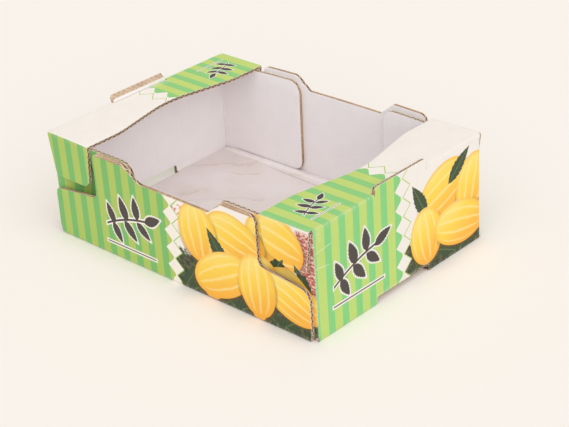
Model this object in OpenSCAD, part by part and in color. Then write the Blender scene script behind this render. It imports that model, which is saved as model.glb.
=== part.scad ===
// Fruit tray box, die-cut and folded from one sheet of corrugated board.
// The long side runs along X, the front wall faces -Y, and the tray stands on Z = 0 about its middle.

/* [Tray] */
// Length over the outer faces of the end walls
tray_l = 420; // [340:1:560]
// Width over the outer faces of the long walls
tray_w = 296; // [240:1:400]
// Height of the shelves' top faces above the table
tray_h = 135; // [115:1:200]

/* [Board] */
// Thickness of the corrugated board
board_t = 4.6; // [2.5:0.1:7]
// Inside radius of every fold
fold_r = 0.8; // [0.4:0.1:2]
// Clearance between plies that lie against each other
ply_gap = 0.4; // [0.2:0.05:1]

/* [Long walls] */
// How far the front wall's raised stretches stay below the shelves' top faces
front_wall_drop = 7; // [0:0.5:14]
// How far the back wall's raised stretches rise above the shelves' top faces
back_wall_rise = 1; // [-6:0.5:8]
// How far each free end of a long wall stops short of the end wall's face
wall_end_gap = 5; // [2:0.5:10]
// Depth of the dip in the middle of the top edge
dip_depth = 17; // [8:0.5:30]
// Length of the dip along its floor
dip_l = 114; // [60:1:130]
// How far the dip sits to the right of the middle
dip_shift = 2; // [-8:0.5:8]
// Length of each ramp beside the dip
ramp_run = 21; // [12:0.5:30]
// Radius at the two ends of the front wall's left ramp
front_ramp_r = 20; // [2:0.5:24]
// Radius at the two ends of the back wall's left ramp
back_ramp_r = 7; // [2:0.5:24]
// Radius at the two ends of each right ramp
sharp_ramp_r = 2.5; // [0.5:0.5:8]
// Radius of the raised stretches' outer corners
shoulder_r = 8; // [2:0.5:14]

/* [Corner cut-outs] */
// Clearance between a shelf's side tab and the raised stretch of wall beside it
cutout_play = 7; // [3:0.5:14]
// Clearance between a side tab's lower edge and the tongue's root under it
tongue_gap = 10; // [4:0.5:20]
// Fall of a tongue's upper edge from its root to its free end
tongue_fall = 8; // [0:0.5:16]
// Radius of the left tongues' tips
left_tip_r = 4; // [1:0.5:12]
// Radius of the right tongues' tips
right_tip_r = 16; // [1:0.5:24]
// Radius of the left cut-outs' inner corners
left_root_r = 1.5; // [0.5:0.5:10]
// Radius of the right cut-outs' inner corners
right_root_r = 9; // [0.5:0.5:14]

/* [Corner flaps] */
// Length of each corner flap, from the end wall's face to its free end
flap_l = 142; // [110:1:165]
// Clearance between the flaps' lower edges and the folds at the floor
flap_lift = 2.1; // [0.5:0.1:8]
// Radius of the flaps' upper free corners
flap_top_r = 16; // [3:0.5:30]
// Radius of the flaps' lower free corners
flap_foot_r = 13; // [3:0.5:30]

/* [Shelves] */
// Depth of a shelf at its two ends
shelf_d = 72; // [60:0.5:85]
// How much the scoop in the middle of the inner edge takes off that depth
scoop_depth = 17; // [6:0.5:30]
// Length of the scoop's deepest stretch
scoop_flat = 30; // [10:1:60]
// Length of the whole scoop
scoop_l = 190; // [130:1:210]
// Radius of the scoop's four bends
scoop_r = 110; // [20:1:140]
// Drop of a shelf's side tabs below its top face
side_tab_drop = 56; // [40:0.5:70]
// How much narrower a side tab grows at each edge on its way down
side_tab_taper = 5; // [1:0.5:10]
// How far a side tab's outer edge stays in from the fold at the end wall
side_tab_inset = 1.6; // [0.5:0.1:8]
// Radius of the side tabs' lower corners
side_tab_r = 8; // [2:0.5:16]
// Length of the slanted lower edge on the right side tabs
slant_l = 38; // [6:0.5:42]
// Height of that slanted edge
slant_h = 13; // [2:0.5:24]

/* [Stacking] */
// Length of the stacking tab at the middle of each end
stack_l = 88; // [50:1:140]
// How far the stacking tab stands above the shelf
stack_h = 8.5; // [4:0.5:14]
// Radius of the stacking tab's upper corners
stack_r = 6; // [1:0.5:8]
// Width of the opening cut at each end of the stacking tab
stack_relief = 1.8; // [0.5:0.1:4]
// Play at each end of the foot notch round the tab that it takes
notch_play = 2; // [1:0.5:8]
// Height of the foot notch
notch_h = 9; // [6:0.5:14]
// How far the foot notch runs into the floor past the end wall
notch_in = 3.5; // [1:0.5:10]
// Radius of the foot notch's upper corners
notch_r = 3; // [0.5:0.5:5]

/* [Hidden] */

// Outer radius of a fold, which is also how far the flat of a panel keeps back from the outer faces
fold_outer = fold_r + board_t;
// Half the width over the end walls, which sit one ply inside the long walls
end_half = tray_w / 2 - board_t - ply_gap;
// Half the length over the free ends of the long walls
wall_half = tray_l / 2 - wall_end_gap;
// Distance from the middle to the shelves' inner edges
shelf_edge = tray_l / 2 - shelf_d;
// Distance from the middle to the raised stretches' outer ends
cutout_x = shelf_edge - cutout_play;
// Ends of the dip's floor
dip_left = dip_shift - dip_l / 2;
dip_right = dip_shift + dip_l / 2;
// Lower edge of the side tabs, and the tongues' edge under them
side_tab_foot = tray_h - side_tab_drop;
tongue_root = side_tab_foot - tongue_gap;
tongue_tip = tongue_root - tongue_fall;
// Edges of the corner flaps, between the floor's folds and the shelf
flap_foot = fold_outer + flap_lift;
flap_top = tray_h - board_t - ply_gap;
// Top of the corner flaps' upright folds, clear of the fold between end wall and shelf
flap_fold_top = tray_h - fold_outer - ply_gap;
// Half the length of the end walls' folds at the floor, clear of the long walls' folds
foot_half = tray_w / 2 - fold_outer - ply_gap;
// Half the length of the opening in the top fold that the stacking tab stands in
stack_gap_half = stack_l / 2 + stack_relief;
// Half the length of the foot notch
notch_half = stack_l / 2 + notch_play;
// Steps in each rounded corner of an outline
corner_steps = 10;
// Largest share of an edge that a rounded corner at one end of it may take
corner_share = 0.49;
// Excess that carries a cut clear through the board
through = 1;
// Angle of every fold, and of a straight line
fold_angle = 90;
straight = 180;
// How far the board of a fold runs into the flats on both sides, less than the gap to the next ply
fold_lap = ply_gap / 2;
$fn = 64;

board_white = "#eee8e2";

// Unit vector from one point to another
function toward(a, b) = (b - a) / norm(b - a);

// A vector turned about the origin
function turned(v, a) = [v[0] * cos(a) - v[1] * sin(a), v[0] * sin(a) + v[1] * cos(a)];

// Points of one outline corner: an arc that touches both of its edges, no larger than they have room for
function corner_arc(before, at, after, radius) =
    let (
        d1 = toward(at, before),
        d2 = toward(at, after),
        half = acos(d1 * d2) / 2,
        room = corner_share * min(norm(before - at), norm(after - at)),
        reach = min(radius / tan(half), room),
        centre = at + toward([0, 0], d1 + d2) * reach / cos(half),
        spoke = at + d1 * reach - centre,
        sweep = (straight - 2 * half) * (cross(d1, d2) > 0 ? -1 : 1)
    )
    [for (i = [0 : corner_steps]) centre + turned(spoke, sweep * i / corner_steps)];

// Outline through corners given as [x, y, radius], where a radius of 0 leaves the corner sharp
function rounded(corners) =
    let (
        n = len(corners),
        at = [for (c = corners) [c[0], c[1]]]
    )
    [for (i = [0 : n - 1])
        each corners[i][2] > 0
            ? corner_arc(at[(i + n - 1) % n], at[i], at[(i + 1) % n], corners[i][2])
            : [at[i]]];

// Fold along X, centred, that turns from facing down to facing +Y, and runs a little into both flats
module fold(length) {
    rotate([90, 0, 90])
        translate([0, 0, -length / 2]) {
            rotate([0, 0, -fold_angle])
                rotate_extrude(angle = fold_angle)
                    translate([fold_r, 0])
                        square([board_t, length]);
            translate([-fold_lap, -fold_outer, 0])
                cube([fold_lap, board_t, length]);
            translate([fold_r, 0, 0])
                cube([board_t, fold_lap, length]);
        }
}

// Upright panel in the XZ plane, with its outer face at Y = 0 and its board behind it
module upright(outline) {
    rotate([90, 0, 0])
        linear_extrude(board_t)
            polygon(outline);
}

// Flat bottom panel between the four folds at its edges
module floor_panel() {
    flat_x = tray_l / 2 - fold_outer;
    flat_y = tray_w / 2 - fold_outer;
    translate([-flat_x, -flat_y, 0])
        cube([2 * flat_x, 2 * flat_y, board_t]);
}

// Long wall on the +Y side: tongues at both ends, raised stretches and a dip between ramps
module long_wall(wall_h, left_ramp_r) {
    dip_h = wall_h - dip_depth;
    translate([0, tray_w / 2, 0])
        upright(rounded([
            [-wall_half, fold_outer, 0],
            [wall_half, fold_outer, 0],
            [wall_half, tongue_tip, right_tip_r],
            [cutout_x, tongue_root, right_root_r],
            [cutout_x, wall_h, shoulder_r],
            [dip_right + ramp_run, wall_h, sharp_ramp_r],
            [dip_right, dip_h, sharp_ramp_r],
            [dip_left, dip_h, left_ramp_r],
            [dip_left - ramp_run, wall_h, left_ramp_r],
            [-cutout_x, wall_h, shoulder_r],
            [-cutout_x, tongue_root, left_root_r],
            [-wall_half, tongue_tip, left_tip_r]
        ]));
    translate([0, tray_w / 2 - fold_outer, fold_outer])
        fold(2 * wall_half);
}

// End wall on the +X side with its stacking tab, and its folds to the floor and to the shelf
module end_wall() {
    flat_y = end_half - fold_outer;
    flat_top = tray_h - fold_outer;
    stack_top = tray_h + stack_h;
    fold_x = tray_l / 2 - fold_outer;
    translate([tray_l / 2, 0, 0])
        rotate([0, 0, -90])
            upright(rounded([
                [-flat_y, fold_outer, 0],
                [flat_y, fold_outer, 0],
                [flat_y, flat_top, 0],
                [stack_l / 2, flat_top, 0],
                [stack_l / 2, stack_top, stack_r],
                [-stack_l / 2, stack_top, stack_r],
                [-stack_l / 2, flat_top, 0],
                [-flat_y, flat_top, 0]
            ]));
    translate([fold_x, 0, fold_outer])
        rotate([0, 0, -90])
            fold(2 * foot_half);
    for (side = [-1, 1])
        translate([fold_x, side * (stack_gap_half + end_half) / 2, flat_top])
            rotate([0, 0, -90])
                mirror([0, 0, 1])
                    fold(end_half - stack_gap_half);
}

// Notch through the foot of the +X end wall, for the stacking tab of the tray below
module foot_notch() {
    translate([tray_l / 2 - board_t - notch_in, 0, 0])
        rotate([90, 0, 90])
            linear_extrude(board_t + notch_in + through)
                polygon(rounded([
                    [-notch_half, -through, 0],
                    [notch_half, -through, 0],
                    [notch_half, notch_h, notch_r],
                    [-notch_half, notch_h, notch_r]
                ]));
}

// Corner flap at the back of the +X end, folded in along the inside of the long wall
module corner_flap() {
    free_x = tray_l / 2 - flap_l;
    root_x = tray_l / 2 - fold_outer;
    translate([0, end_half, 0])
        upright(rounded([
            [free_x, flap_foot, flap_foot_r],
            [root_x, flap_foot, 0],
            [root_x, flap_top, 0],
            [free_x, flap_top, flap_top_r]
        ]));
    translate([root_x, end_half - fold_outer, (flap_foot + flap_fold_top) / 2])
        rotate([0, -90, 0])
            fold(flap_fold_top - flap_foot);
}

// Shelf folded in over the +X end, with its scooped inner edge
module shelf() {
    flat_x = tray_l / 2 - fold_outer;
    flat_y = tray_w / 2 - fold_outer;
    scoop_x = shelf_edge + scoop_depth;
    translate([0, 0, tray_h - board_t])
        linear_extrude(board_t)
            polygon(rounded([
                [flat_x, -flat_y, 0],
                [flat_x, flat_y, 0],
                [shelf_edge, flat_y, 0],
                [shelf_edge, scoop_l / 2, scoop_r],
                [scoop_x, scoop_flat / 2, scoop_r],
                [scoop_x, -scoop_flat / 2, scoop_r],
                [shelf_edge, -scoop_l / 2, scoop_r],
                [shelf_edge, -flat_y, 0]
            ]));
}

// Side tab at the back of the +X shelf, folded down into the long wall's cut-out
module side_tab(slanted) {
    outer_x = tray_l / 2 - fold_outer - side_tab_inset;
    root_z = tray_h - fold_outer;
    foot_inner = shelf_edge + side_tab_taper;
    foot_outer = outer_x - side_tab_taper;
    inner_corner = slanted
        ? [
            [foot_inner, side_tab_foot + slant_h, side_tab_r],
            [foot_inner + slant_l, side_tab_foot, side_tab_r]
        ]
        : [[foot_inner, side_tab_foot, side_tab_r]];
    translate([0, tray_w / 2, 0])
        upright(rounded(concat(
            [[outer_x, root_z, 0], [shelf_edge, root_z, 0]],
            inner_corner,
            [[foot_outer, side_tab_foot, side_tab_r]]
        )));
    translate([(shelf_edge + outer_x) / 2, tray_w / 2 - fold_outer, root_z])
        mirror([0, 0, 1])
            fold(outer_x - shelf_edge);
}

// Everything that folds up from the floor's +X end
module tray_end(slanted) {
    end_wall();
    shelf();
    for (front = [0, 1])
        mirror([0, front, 0]) {
            corner_flap();
            side_tab(slanted);
        }
}

module tray() {
    color(board_white)
        difference() {
            union() {
                floor_panel();
                long_wall(tray_h + back_wall_rise, back_ramp_r);
                mirror([0, 1, 0])
                    long_wall(tray_h - front_wall_drop, front_ramp_r);
                tray_end(slanted = true);
                mirror([1, 0, 0])
                    tray_end(slanted = false);
            }
            for (left = [0, 1])
                mirror([left, 0, 0])
                    foot_notch();
        }
}

tray();
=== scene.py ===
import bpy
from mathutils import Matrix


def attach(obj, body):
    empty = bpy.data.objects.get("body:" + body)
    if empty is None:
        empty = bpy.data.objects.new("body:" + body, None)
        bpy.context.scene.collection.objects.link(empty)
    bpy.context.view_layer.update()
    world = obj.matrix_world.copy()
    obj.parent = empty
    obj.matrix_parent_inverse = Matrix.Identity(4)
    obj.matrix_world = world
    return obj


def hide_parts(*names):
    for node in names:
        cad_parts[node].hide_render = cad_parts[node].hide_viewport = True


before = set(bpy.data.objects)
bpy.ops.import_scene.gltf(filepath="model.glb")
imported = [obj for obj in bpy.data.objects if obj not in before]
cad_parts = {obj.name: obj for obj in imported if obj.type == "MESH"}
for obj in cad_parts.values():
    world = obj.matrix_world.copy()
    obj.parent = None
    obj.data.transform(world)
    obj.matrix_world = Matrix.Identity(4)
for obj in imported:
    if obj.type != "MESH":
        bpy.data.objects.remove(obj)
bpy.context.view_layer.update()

import logging
import math
from dataclasses import dataclass, field
from enum import Enum
from typing import Callable, Sequence, Union

import bmesh
import bpy
import numpy as np
from mathutils import Matrix

Array = np.ndarray
Place = Callable[[Array, Array, Array], tuple[Array, Array, Array]]
PrintMap = Callable[[Array, Array], tuple[Array, Array]]
Corner = tuple[float, float, float]

MM = 0.001
QUARTER = math.pi / 2
log = logging.getLogger("fruit_tray")


class Paper(Enum):
    """The three papers that the board is glued up from."""

    OUTER_LINER = "outer_liner"
    INNER_LINER = "inner_liner"
    FLUTING = "fluting"


class Zone(Enum):
    """The stretches of the print, by where each starts along the print map, in millimetres."""

    STACK_TAB = -1000.0
    LONG_SIDE = 0.0
    END = 1000.0
    BARE = 2000.0


class Edge(Enum):
    """The four edges of a patch of board."""

    FIRST_ROW = "first_row"
    LAST_ROW = "last_row"
    FIRST_COLUMN = "first_column"
    LAST_COLUMN = "last_column"


class Way(Enum):
    """Sign of the direction in which a part of the tray lies from its middle."""

    NEGATIVE = -1
    POSITIVE = 1


ALL_CELLS = slice(None)
BOTH_ENDS = {Edge.FIRST_COLUMN: ALL_CELLS, Edge.LAST_COLUMN: ALL_CELLS}
# Longest share of the stretch beside a corner that its arc may take up
ARC_ROOM = 0.49
# Marks nearer than this to the end of a stretch, in millimetres, count as its end
MARK_ROOM = 0.02
# How pale a rim cut along the flutes is, where one cut across them is 1
ALONG_RIM = 0.3
# How far inside an edge cut along the flutes the board is closed, in millimetres
SIDE_PLUG = 0.2
# Points nearer than this are welded, in millimetres
WELD = 0.002
# Faces that meet at more than this angle have a sharp edge
SHARP = math.radians(40)


def rounded(corners: Sequence[Corner], steps: int = 8) -> Array:
    """Runs an open line through corners and rounds each inner one that has a radius.

    Args:
        corners: Points as (x, y, radius), the first and last of them sharp.
        steps: Straight steps in each arc.

    Returns:
        The line's points, one a row.
    """
    points = [np.array(corner[:2], float) for corner in corners]
    line = [points[0]]
    for before, at, after, corner in zip(points, points[1:], points[2:], corners[1:]):
        radius = corner[2]
        if radius <= 0:
            line.append(at)
            continue
        back, on = before - at, after - at
        room = ARC_ROOM * min(np.linalg.norm(back), np.linalg.norm(on))
        back, on = back / np.linalg.norm(back), on / np.linalg.norm(on)
        half = math.acos(float(np.clip(back @ on, -1, 1))) / 2
        reach = min(radius / math.tan(half), room)
        middle = (back + on) / np.linalg.norm(back + on)
        centre = at + middle * reach / math.cos(half)
        spoke = at + back * reach - centre
        turn = back[0] * on[1] - back[1] * on[0]
        sweep = (math.pi - 2 * half) * (-1 if turn > 0 else 1)
        for step in range(steps + 1):
            angle = sweep * step / steps
            c, s = math.cos(angle), math.sin(angle)
            line.append(centre + np.array([c * spoke[0] - s * spoke[1], s * spoke[0] + c * spoke[1]]))
    line.append(points[-1])
    return np.array(line)


def rows_between(low: float, high: float, marks: Sequence[float], step: float) -> Array:
    """Splits a stretch at its marks and then evenly.

    Args:
        low: Start of the stretch.
        high: End of the stretch.
        marks: Places that have to be among the rows.
        step: Longest distance between rows.

    Returns:
        The rows from low to high.
    """
    inside = {round(m, 4) for m in marks if low + MARK_ROOM < m < high - MARK_ROOM}
    fixed = sorted(inside | {round(low, 4), round(high, 4)})
    rows = [fixed[0]]
    for a, b in zip(fixed, fixed[1:]):
        count = max(1, math.ceil((b - a) / step - 1e-6))
        rows.extend(a + (b - a) * k / count for k in range(1, count + 1))
    return np.array(rows)


def columns(first: Array, last: Array, shares: Array, rim: tuple[float, float] = (0, 0)) -> Array:
    """Spreads a patch's columns over each row, with a narrow rim at a cut edge.

    Args:
        first: Where each row starts.
        last: Where each row ends.
        shares: The columns between the rims, from 0 to 1.
        rim: Width of the rim at each end, or 0 for none.

    Returns:
        Positions along the flutes, one line a row.
    """
    low, high = first + rim[0], last - rim[1]
    parts = [low[:, None] + (high - low)[:, None] * shares[None, :]]
    if rim[0] > 0:
        parts.insert(0, first[:, None])
    if rim[1] > 0:
        parts.append(last[:, None])
    return np.concatenate(parts, axis=1)


def even(length: float, step: float) -> Array:
    """Even shares from 0 to 1 of a length, no longer than a step."""
    return np.linspace(0, 1, max(1, math.ceil(length / step)) + 1)


def hump(half: float, low: float, high: float, radius: float) -> Array:
    """Line from one side to the other, between the roundings of its two upper corners."""
    return rounded([(-half, low, 0), (-half, high, radius), (half, high, radius), (half, low, 0)])[1:-1]


def row_cuts(low: float, high: float, halves: Sequence[float]) -> dict[Edge, slice]:
    """Cuts the first or last row of a stretch that starts or stops at one of some half widths."""
    ends = {Edge.FIRST_ROW: low, Edge.LAST_ROW: high}
    return {edge: ALL_CELLS for edge, y in ends.items() if abs(y) in halves}


def uncrushed(y: Array, share: float, run: float, half: float) -> Array:
    """Share of the depth that is left to a fold, which is crushed towards its two ends."""
    return 1 - share * ease(np.abs(y), half - run, half)


def stacked(parts: Sequence[Array]) -> Array:
    """Joins coordinates into points along a new last axis."""
    return np.stack(np.broadcast_arrays(*parts), axis=-1)


def ease(value: Array, low: float, high: float) -> Array:
    """Smooth rise from 0 at low to 1 at high."""
    t = np.clip((value - low) / (high - low), 0, 1)
    return t * t * (3 - 2 * t)


@dataclass(frozen=True)
class Density:
    """How finely a paper is divided, in millimetres."""

    column: float
    row: float
    bend: int


@dataclass(frozen=True)
class Board:
    """Single-wall corrugated board and its folds, in millimetres."""

    thickness: float = 4.6
    liner: float = 0.46
    medium: float = 0.6
    pitch: float = 7.8
    fold_inner: float = 0.8
    rim: float = 1.3
    pressed: float = 0.10
    squareness: float = 6.0

    @property
    def fold_outer(self) -> float:
        """Outer radius of a fold."""
        return self.fold_inner + self.thickness

    @property
    def fold_length(self) -> float:
        """Length of a fold along the middle of the board."""
        return (self.fold_inner + self.thickness / 2) * QUARTER

    def bend(self, angle: Array, depth: Array) -> tuple[Array, Array]:
        """Bends the board about a fold's axis, squarer on the outside where the fold is crushed.

        Args:
            angle: Angle about the axis, from 0 to a quarter turn.
            depth: Depth below the printed face.

        Returns:
            Offsets from the axis along the directions of angle 0 and of a quarter turn.
        """
        r = self.fold_outer - depth
        power = 2 / (2 + self.squareness * (1 - depth / self.thickness))
        return r * np.clip(np.cos(angle), 0, 1) ** power, r * np.clip(np.sin(angle), 0, 1) ** power

    def press(self, depth: Array, share: Array) -> Array:
        """Presses a depth towards the middle of the board, as a cutting die does at an edge."""
        middle = self.thickness / 2
        return middle + (depth - middle) * (1 - self.pressed * share)

    def faces(self, paper: Paper, flute: Array) -> tuple[Array, Array]:
        """Gives the depths of a paper's two faces below the printed face.

        Args:
            paper: Which of the three papers.
            flute: Distance across the flutes, one a row.

        Returns:
            Depth of the face towards the outside, and of the face towards the inside.
        """
        flat = np.zeros_like(flute)
        if paper is Paper.OUTER_LINER:
            return flat, flat + self.liner
        if paper is Paper.INNER_LINER:
            return flat + self.thickness - self.liner, flat + self.thickness
        swing = (self.thickness - 2 * self.liner - self.medium) / 2
        turn = 2 * math.pi * flute / self.pitch
        slope = swing * 2 * math.pi / self.pitch * np.sin(turn)
        half = self.medium / 2 * np.sqrt(1 + slope * slope)
        middle = self.thickness / 2 + swing * np.cos(turn)
        return middle - half, middle + half


@dataclass(frozen=True)
class TraySizes:
    """The folded tray's sizes, as the solid has them, in millimetres."""

    length: float = 420.0
    width: float = 296.0
    height: float = 135.0
    front_wall: float = 128.0
    back_wall: float = 136.0
    wall_left: float = -208.0
    wall_right: float = 204.6
    foot_inset: tuple[float, float] = (2.0, 0.8)
    cutout_x: float = 131.0
    shelf_depth: float = 72.0
    stack_half: float = 44.6
    stack_gap_half: float = 44.8
    notch_half: float = 46.0
    notch_radius: float = 3.0
    notch_in: float = 3.5
    ply_gap: float = 0.4

    @property
    def half_length(self) -> float:
        """Half the tray's length."""
        return self.length / 2

    @property
    def half_width(self) -> float:
        """Half the tray's width."""
        return self.width / 2


@dataclass
class Patch:
    """One stretch of board as a grid, with rows across the flutes and columns along them."""

    along: Array
    across: Array
    flute: Array
    place: Place
    printed: PrintMap
    zone: Zone = Zone.BARE
    cut: dict[Edge, slice] = field(default_factory=dict)
    fold: Union[Array, float] = 0.0
    rimmed: tuple[Edge, ...] = ()
    plug_depth: float = 6.0
    # Paleness of the plug, painted light in its shaded recess
    plug_tone: float = 0.0

    def points(self, depth: Array) -> Array:
        """Places the whole grid at given depths.

        Args:
            depth: Depth below the printed face, rows by columns.

        Returns:
            Points in millimetres, rows by columns by three.
        """
        across = np.broadcast_to(self.across[:, None], self.along.shape)
        return stacked(self.place(self.along, across, depth))

    def pressed_share(self, rim: float) -> Array:
        """Says how far each point is pressed by the die.

        Args:
            rim: Width of the pressed rim.

        Returns:
            1 on rimmed edges, falling to 0 across the rim, rows by columns.
        """
        far = np.full(self.along.shape, rim)
        up = np.broadcast_to(self.across[:, None], self.along.shape)
        for edge in self.rimmed:
            if edge is Edge.FIRST_COLUMN:
                off = self.along - self.along[:, :1]
            elif edge is Edge.LAST_COLUMN:
                off = self.along[:, -1:] - self.along
            elif edge is Edge.FIRST_ROW:
                off = up - up[:1]
            else:
                cells = self.cut[edge]
                off = np.full(self.along.shape, rim)
                span = slice(cells.start, None if cells.stop is None else cells.stop + 1)
                off[:, span] = (up[-1:] - up)[:, span]
            far = np.minimum(far, off)
        return np.clip(1 - far / rim, 0, 1)

    def plug(self, edge: Edge, recess: float) -> tuple[Array, Array]:
        """Line just inside a rimmed edge, where torn fluting closes the board.

        Args:
            edge: The edge.
            recess: Distance inside the edge.

        Returns:
            Positions along and across the flutes.
        """
        if edge is Edge.FIRST_COLUMN:
            return self.along[:, 0] + recess, self.across
        if edge is Edge.LAST_COLUMN:
            return self.along[:, -1] - recess, self.across
        row = 0 if edge is Edge.FIRST_ROW else -1
        cells = self.cut[edge]
        span = slice(cells.start, None if cells.stop is None else cells.stop + 1)
        line = self.along[row, span]
        return line, np.full_like(line, self.across[row] + (recess if row == 0 else -recess))

    def print_map(self) -> Array:
        """Gives the print's own coordinates for the grid.

        Returns:
            Distances along and up the print, rows by columns by two.
        """
        across = np.broadcast_to(self.across[:, None], self.along.shape)
        p, q = np.broadcast_arrays(*self.printed(self.along, across))
        return np.stack([p + self.zone.value, q], axis=-1)

    def fibre_map(self) -> Array:
        """Distances along and across the flutes, rows by columns by two."""
        flute = np.broadcast_to(self.flute[:, None], self.along.shape)
        return np.stack([self.along, flute], axis=-1)

    def rim_mask(self) -> Array:
        """Says where the paper's pale cut rim shows.

        Returns:
            1 on edges cut across the flutes, less on edges cut along them, and 0 elsewhere.
        """
        mask = np.zeros(self.along.shape)
        if Edge.FIRST_ROW in self.cut:
            mask[0, :] = ALONG_RIM
        if Edge.LAST_ROW in self.cut:
            mask[-1, self.cut[Edge.LAST_ROW]] = ALONG_RIM
        if Edge.FIRST_COLUMN in self.cut:
            mask[:, 0] = 1
        if Edge.LAST_COLUMN in self.cut:
            mask[:, -1] = 1
        return mask


@dataclass(frozen=True)
class Settling:
    """How the folded board has settled out of true, in millimetres."""

    back_bow: float = 4.2
    back_bow_half: float = 134.0
    back_band: tuple[float, float] = (110.0, 138.0)
    wall_wave: float = 0.5
    end_wave: tuple[float, float] = (52.0, 0.7)
    side_wave: tuple[float, float] = (61.0, 1.3)
    shelf_sag: float = 1.3
    least_sag: float = 0.35
    sag_run: float = 7.0
    sag_band: tuple[float, float] = (20.0, 130.0)

    def move(self, points: Array, sizes: TraySizes) -> Array:
        """Bows the back wall out and lets walls and shelves wander a little.

        Args:
            points: Points in millimetres, the last axis of three.
            sizes: The tray's sizes.

        Returns:
            The moved points.
        """
        x, y, z = points[..., 0], points[..., 1], points[..., 2]
        up = np.clip(z / sizes.height, 0, 1.1)
        span = np.clip(1 - (x / self.back_bow_half) ** 2, 0, 1)
        bow = self.back_bow * span ** 0.8 * up ** 1.4 * ease(y, *self.back_band)
        belly = np.sin(math.pi * np.clip(up, 0, 1))
        end = (x / sizes.half_length) ** 3
        side = (y / sizes.half_width) ** 3
        length, phase = self.end_wave
        dx = self.wall_wave * np.sin(y / length + phase) * belly * end
        length, phase = self.side_wave
        dy = bow + self.wall_wave * np.sin(x / length + phase) * belly * side
        reach = np.clip((sizes.half_length - np.abs(x)) / sizes.shelf_depth, 0, 1)
        over = ease(np.abs(x), sizes.cutout_x, sizes.cutout_x + self.sag_run) * up ** 8
        droop = self.least_sag + (1 - self.least_sag) * ease(np.sign(x) * y, *self.sag_band)
        dz = -self.shelf_sag * reach ** 2 * over * droop
        return np.stack([x + dx, y + dy, z + dz], axis=-1)


@dataclass(frozen=True)
class FloorPanel:
    """Bottom panel with the two folds that turn up into the long walls."""

    sizes: TraySizes
    board: Board
    crease_y: float = 124.5
    crease_depth: float = 0.8
    crease_half: float = 1.2
    crease_step: float = 0.8
    crease_steps: range = range(-9, 23)
    veer: float = 4.0
    veer_x: float = -85.0
    veer_run: float = 60.0
    bead_y: float = 134.0
    bead_half: float = 2.6
    bead_height: float = 2.9
    bead_shares: tuple[float, float] = (0.78, 0.22)
    bead_back: tuple[float, float] = (140.6, 142.4)
    bead_ends: tuple[float, float] = (190.0, 204.0)
    bead_wave: tuple[float, float] = (0.06, 23.0)
    fold_inset: float = 1.6

    def crease(self, x: Array, y: Array) -> Array:
        """Shapes the crease and the bead beside it, along the back of the floor.

        Args:
            x: Distance along the floor.
            y: Distance across the floor.

        Returns:
            Height above the flat floor.
        """
        (near, far), (low, high) = self.bead_ends, self.bead_back
        reach = ease(x, -far, -near) * ease(-x, -far, -near)
        line = self.crease_y - self.veer * np.tanh((x - self.veer_x) / self.veer_run)
        dent = -self.crease_depth * np.exp(-(((y - line) / self.crease_half) ** 2))
        rise = ease(y, line, self.bead_y) * ease(-y, -high, -low)
        bump = np.exp(-(((y - self.bead_y) / self.bead_half) ** 2))
        bead = self.bead_shares[0] * rise + self.bead_shares[1] * bump
        swell, length = self.bead_wave
        return reach * (dent + self.bead_height * bead * (1 + swell * np.sin(x / length)))

    def patches(self, density: Density, shares: Array, marks: Sequence[float]) -> list[Patch]:
        """Divides the floor between the foot notches and adds its long folds.

        Args:
            density: How finely the paper is divided.
            shares: Columns along the length, from 0 to 1.
            marks: Rows that the floor shares with the ends.

        Returns:
            The floor's patches.
        """
        s, b = self.sizes, self.board
        flat_x, flat_y = s.half_length - b.fold_outer, s.half_width - b.fold_outer
        notch_x = s.half_length - b.thickness - s.notch_in
        breaks = [-flat_y, -s.notch_half, s.notch_half, flat_y]
        crease_rows = [self.crease_y + self.crease_step * k for k in self.crease_steps]

        def place(a: Array, c: Array, w: Array) -> tuple[Array, Array, Array]:
            """Lays the floor on the table, with its crease on the inside."""
            return a, c, w + self.crease(a, c) * w / b.thickness

        made = []
        for low, high in zip(breaks, breaks[1:]):
            rows = rows_between(low, high, [*marks, *crease_rows], density.row)
            ends = np.full_like(rows, flat_x)
            grid = columns(-ends, ends, shares)
            notched = abs(low + high) < 1
            if notched:
                grid = np.clip(grid, -notch_x, notch_x)
            cut = BOTH_ENDS if notched else {}
            made.append(Patch(grid, rows, rows, place, lambda a, c: (a, c), Zone.BARE, cut))
        return made + [self.long_fold(way, density, shares) for way in Way]

    def long_fold(self, way: Way, density: Density, shares: Array) -> Patch:
        """Makes the fold from the floor to one long wall.

        Args:
            way: Front or back.
            density: How finely the paper is divided.
            shares: Columns along the length, from 0 to 1.

        Returns:
            The fold as one patch, with angles for rows.
        """
        s, b, sy = self.sizes, self.board, way.value
        count = max(density.bend, math.ceil(b.fold_length / density.row))
        angle = np.linspace(0, QUARTER, count + 1)
        inset = 1 + self.fold_inset * (1 - angle / QUARTER)
        left = s.wall_left + s.foot_inset[0] * inset
        right = s.wall_right - s.foot_inset[1] * inset
        grid = columns(left, right, shares, (b.rim, b.rim))
        root = s.half_width - b.fold_outer

        def place(a: Array, c: Array, w: Array) -> tuple[Array, Array, Array]:
            """Bends the board up about the fold's axis."""
            down, out = b.bend(c, w)
            return a, sy * (root + out), b.fold_outer - down

        return Patch(
            grid, angle, sy * (root + b.fold_length * angle / QUARTER), place,
            lambda a, c: (-sy * a, b.fold_outer * c / QUARTER), Zone.LONG_SIDE, BOTH_ENDS,
            np.sin(2 * angle)[:, None], tuple(BOTH_ENDS),
        )


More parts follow.
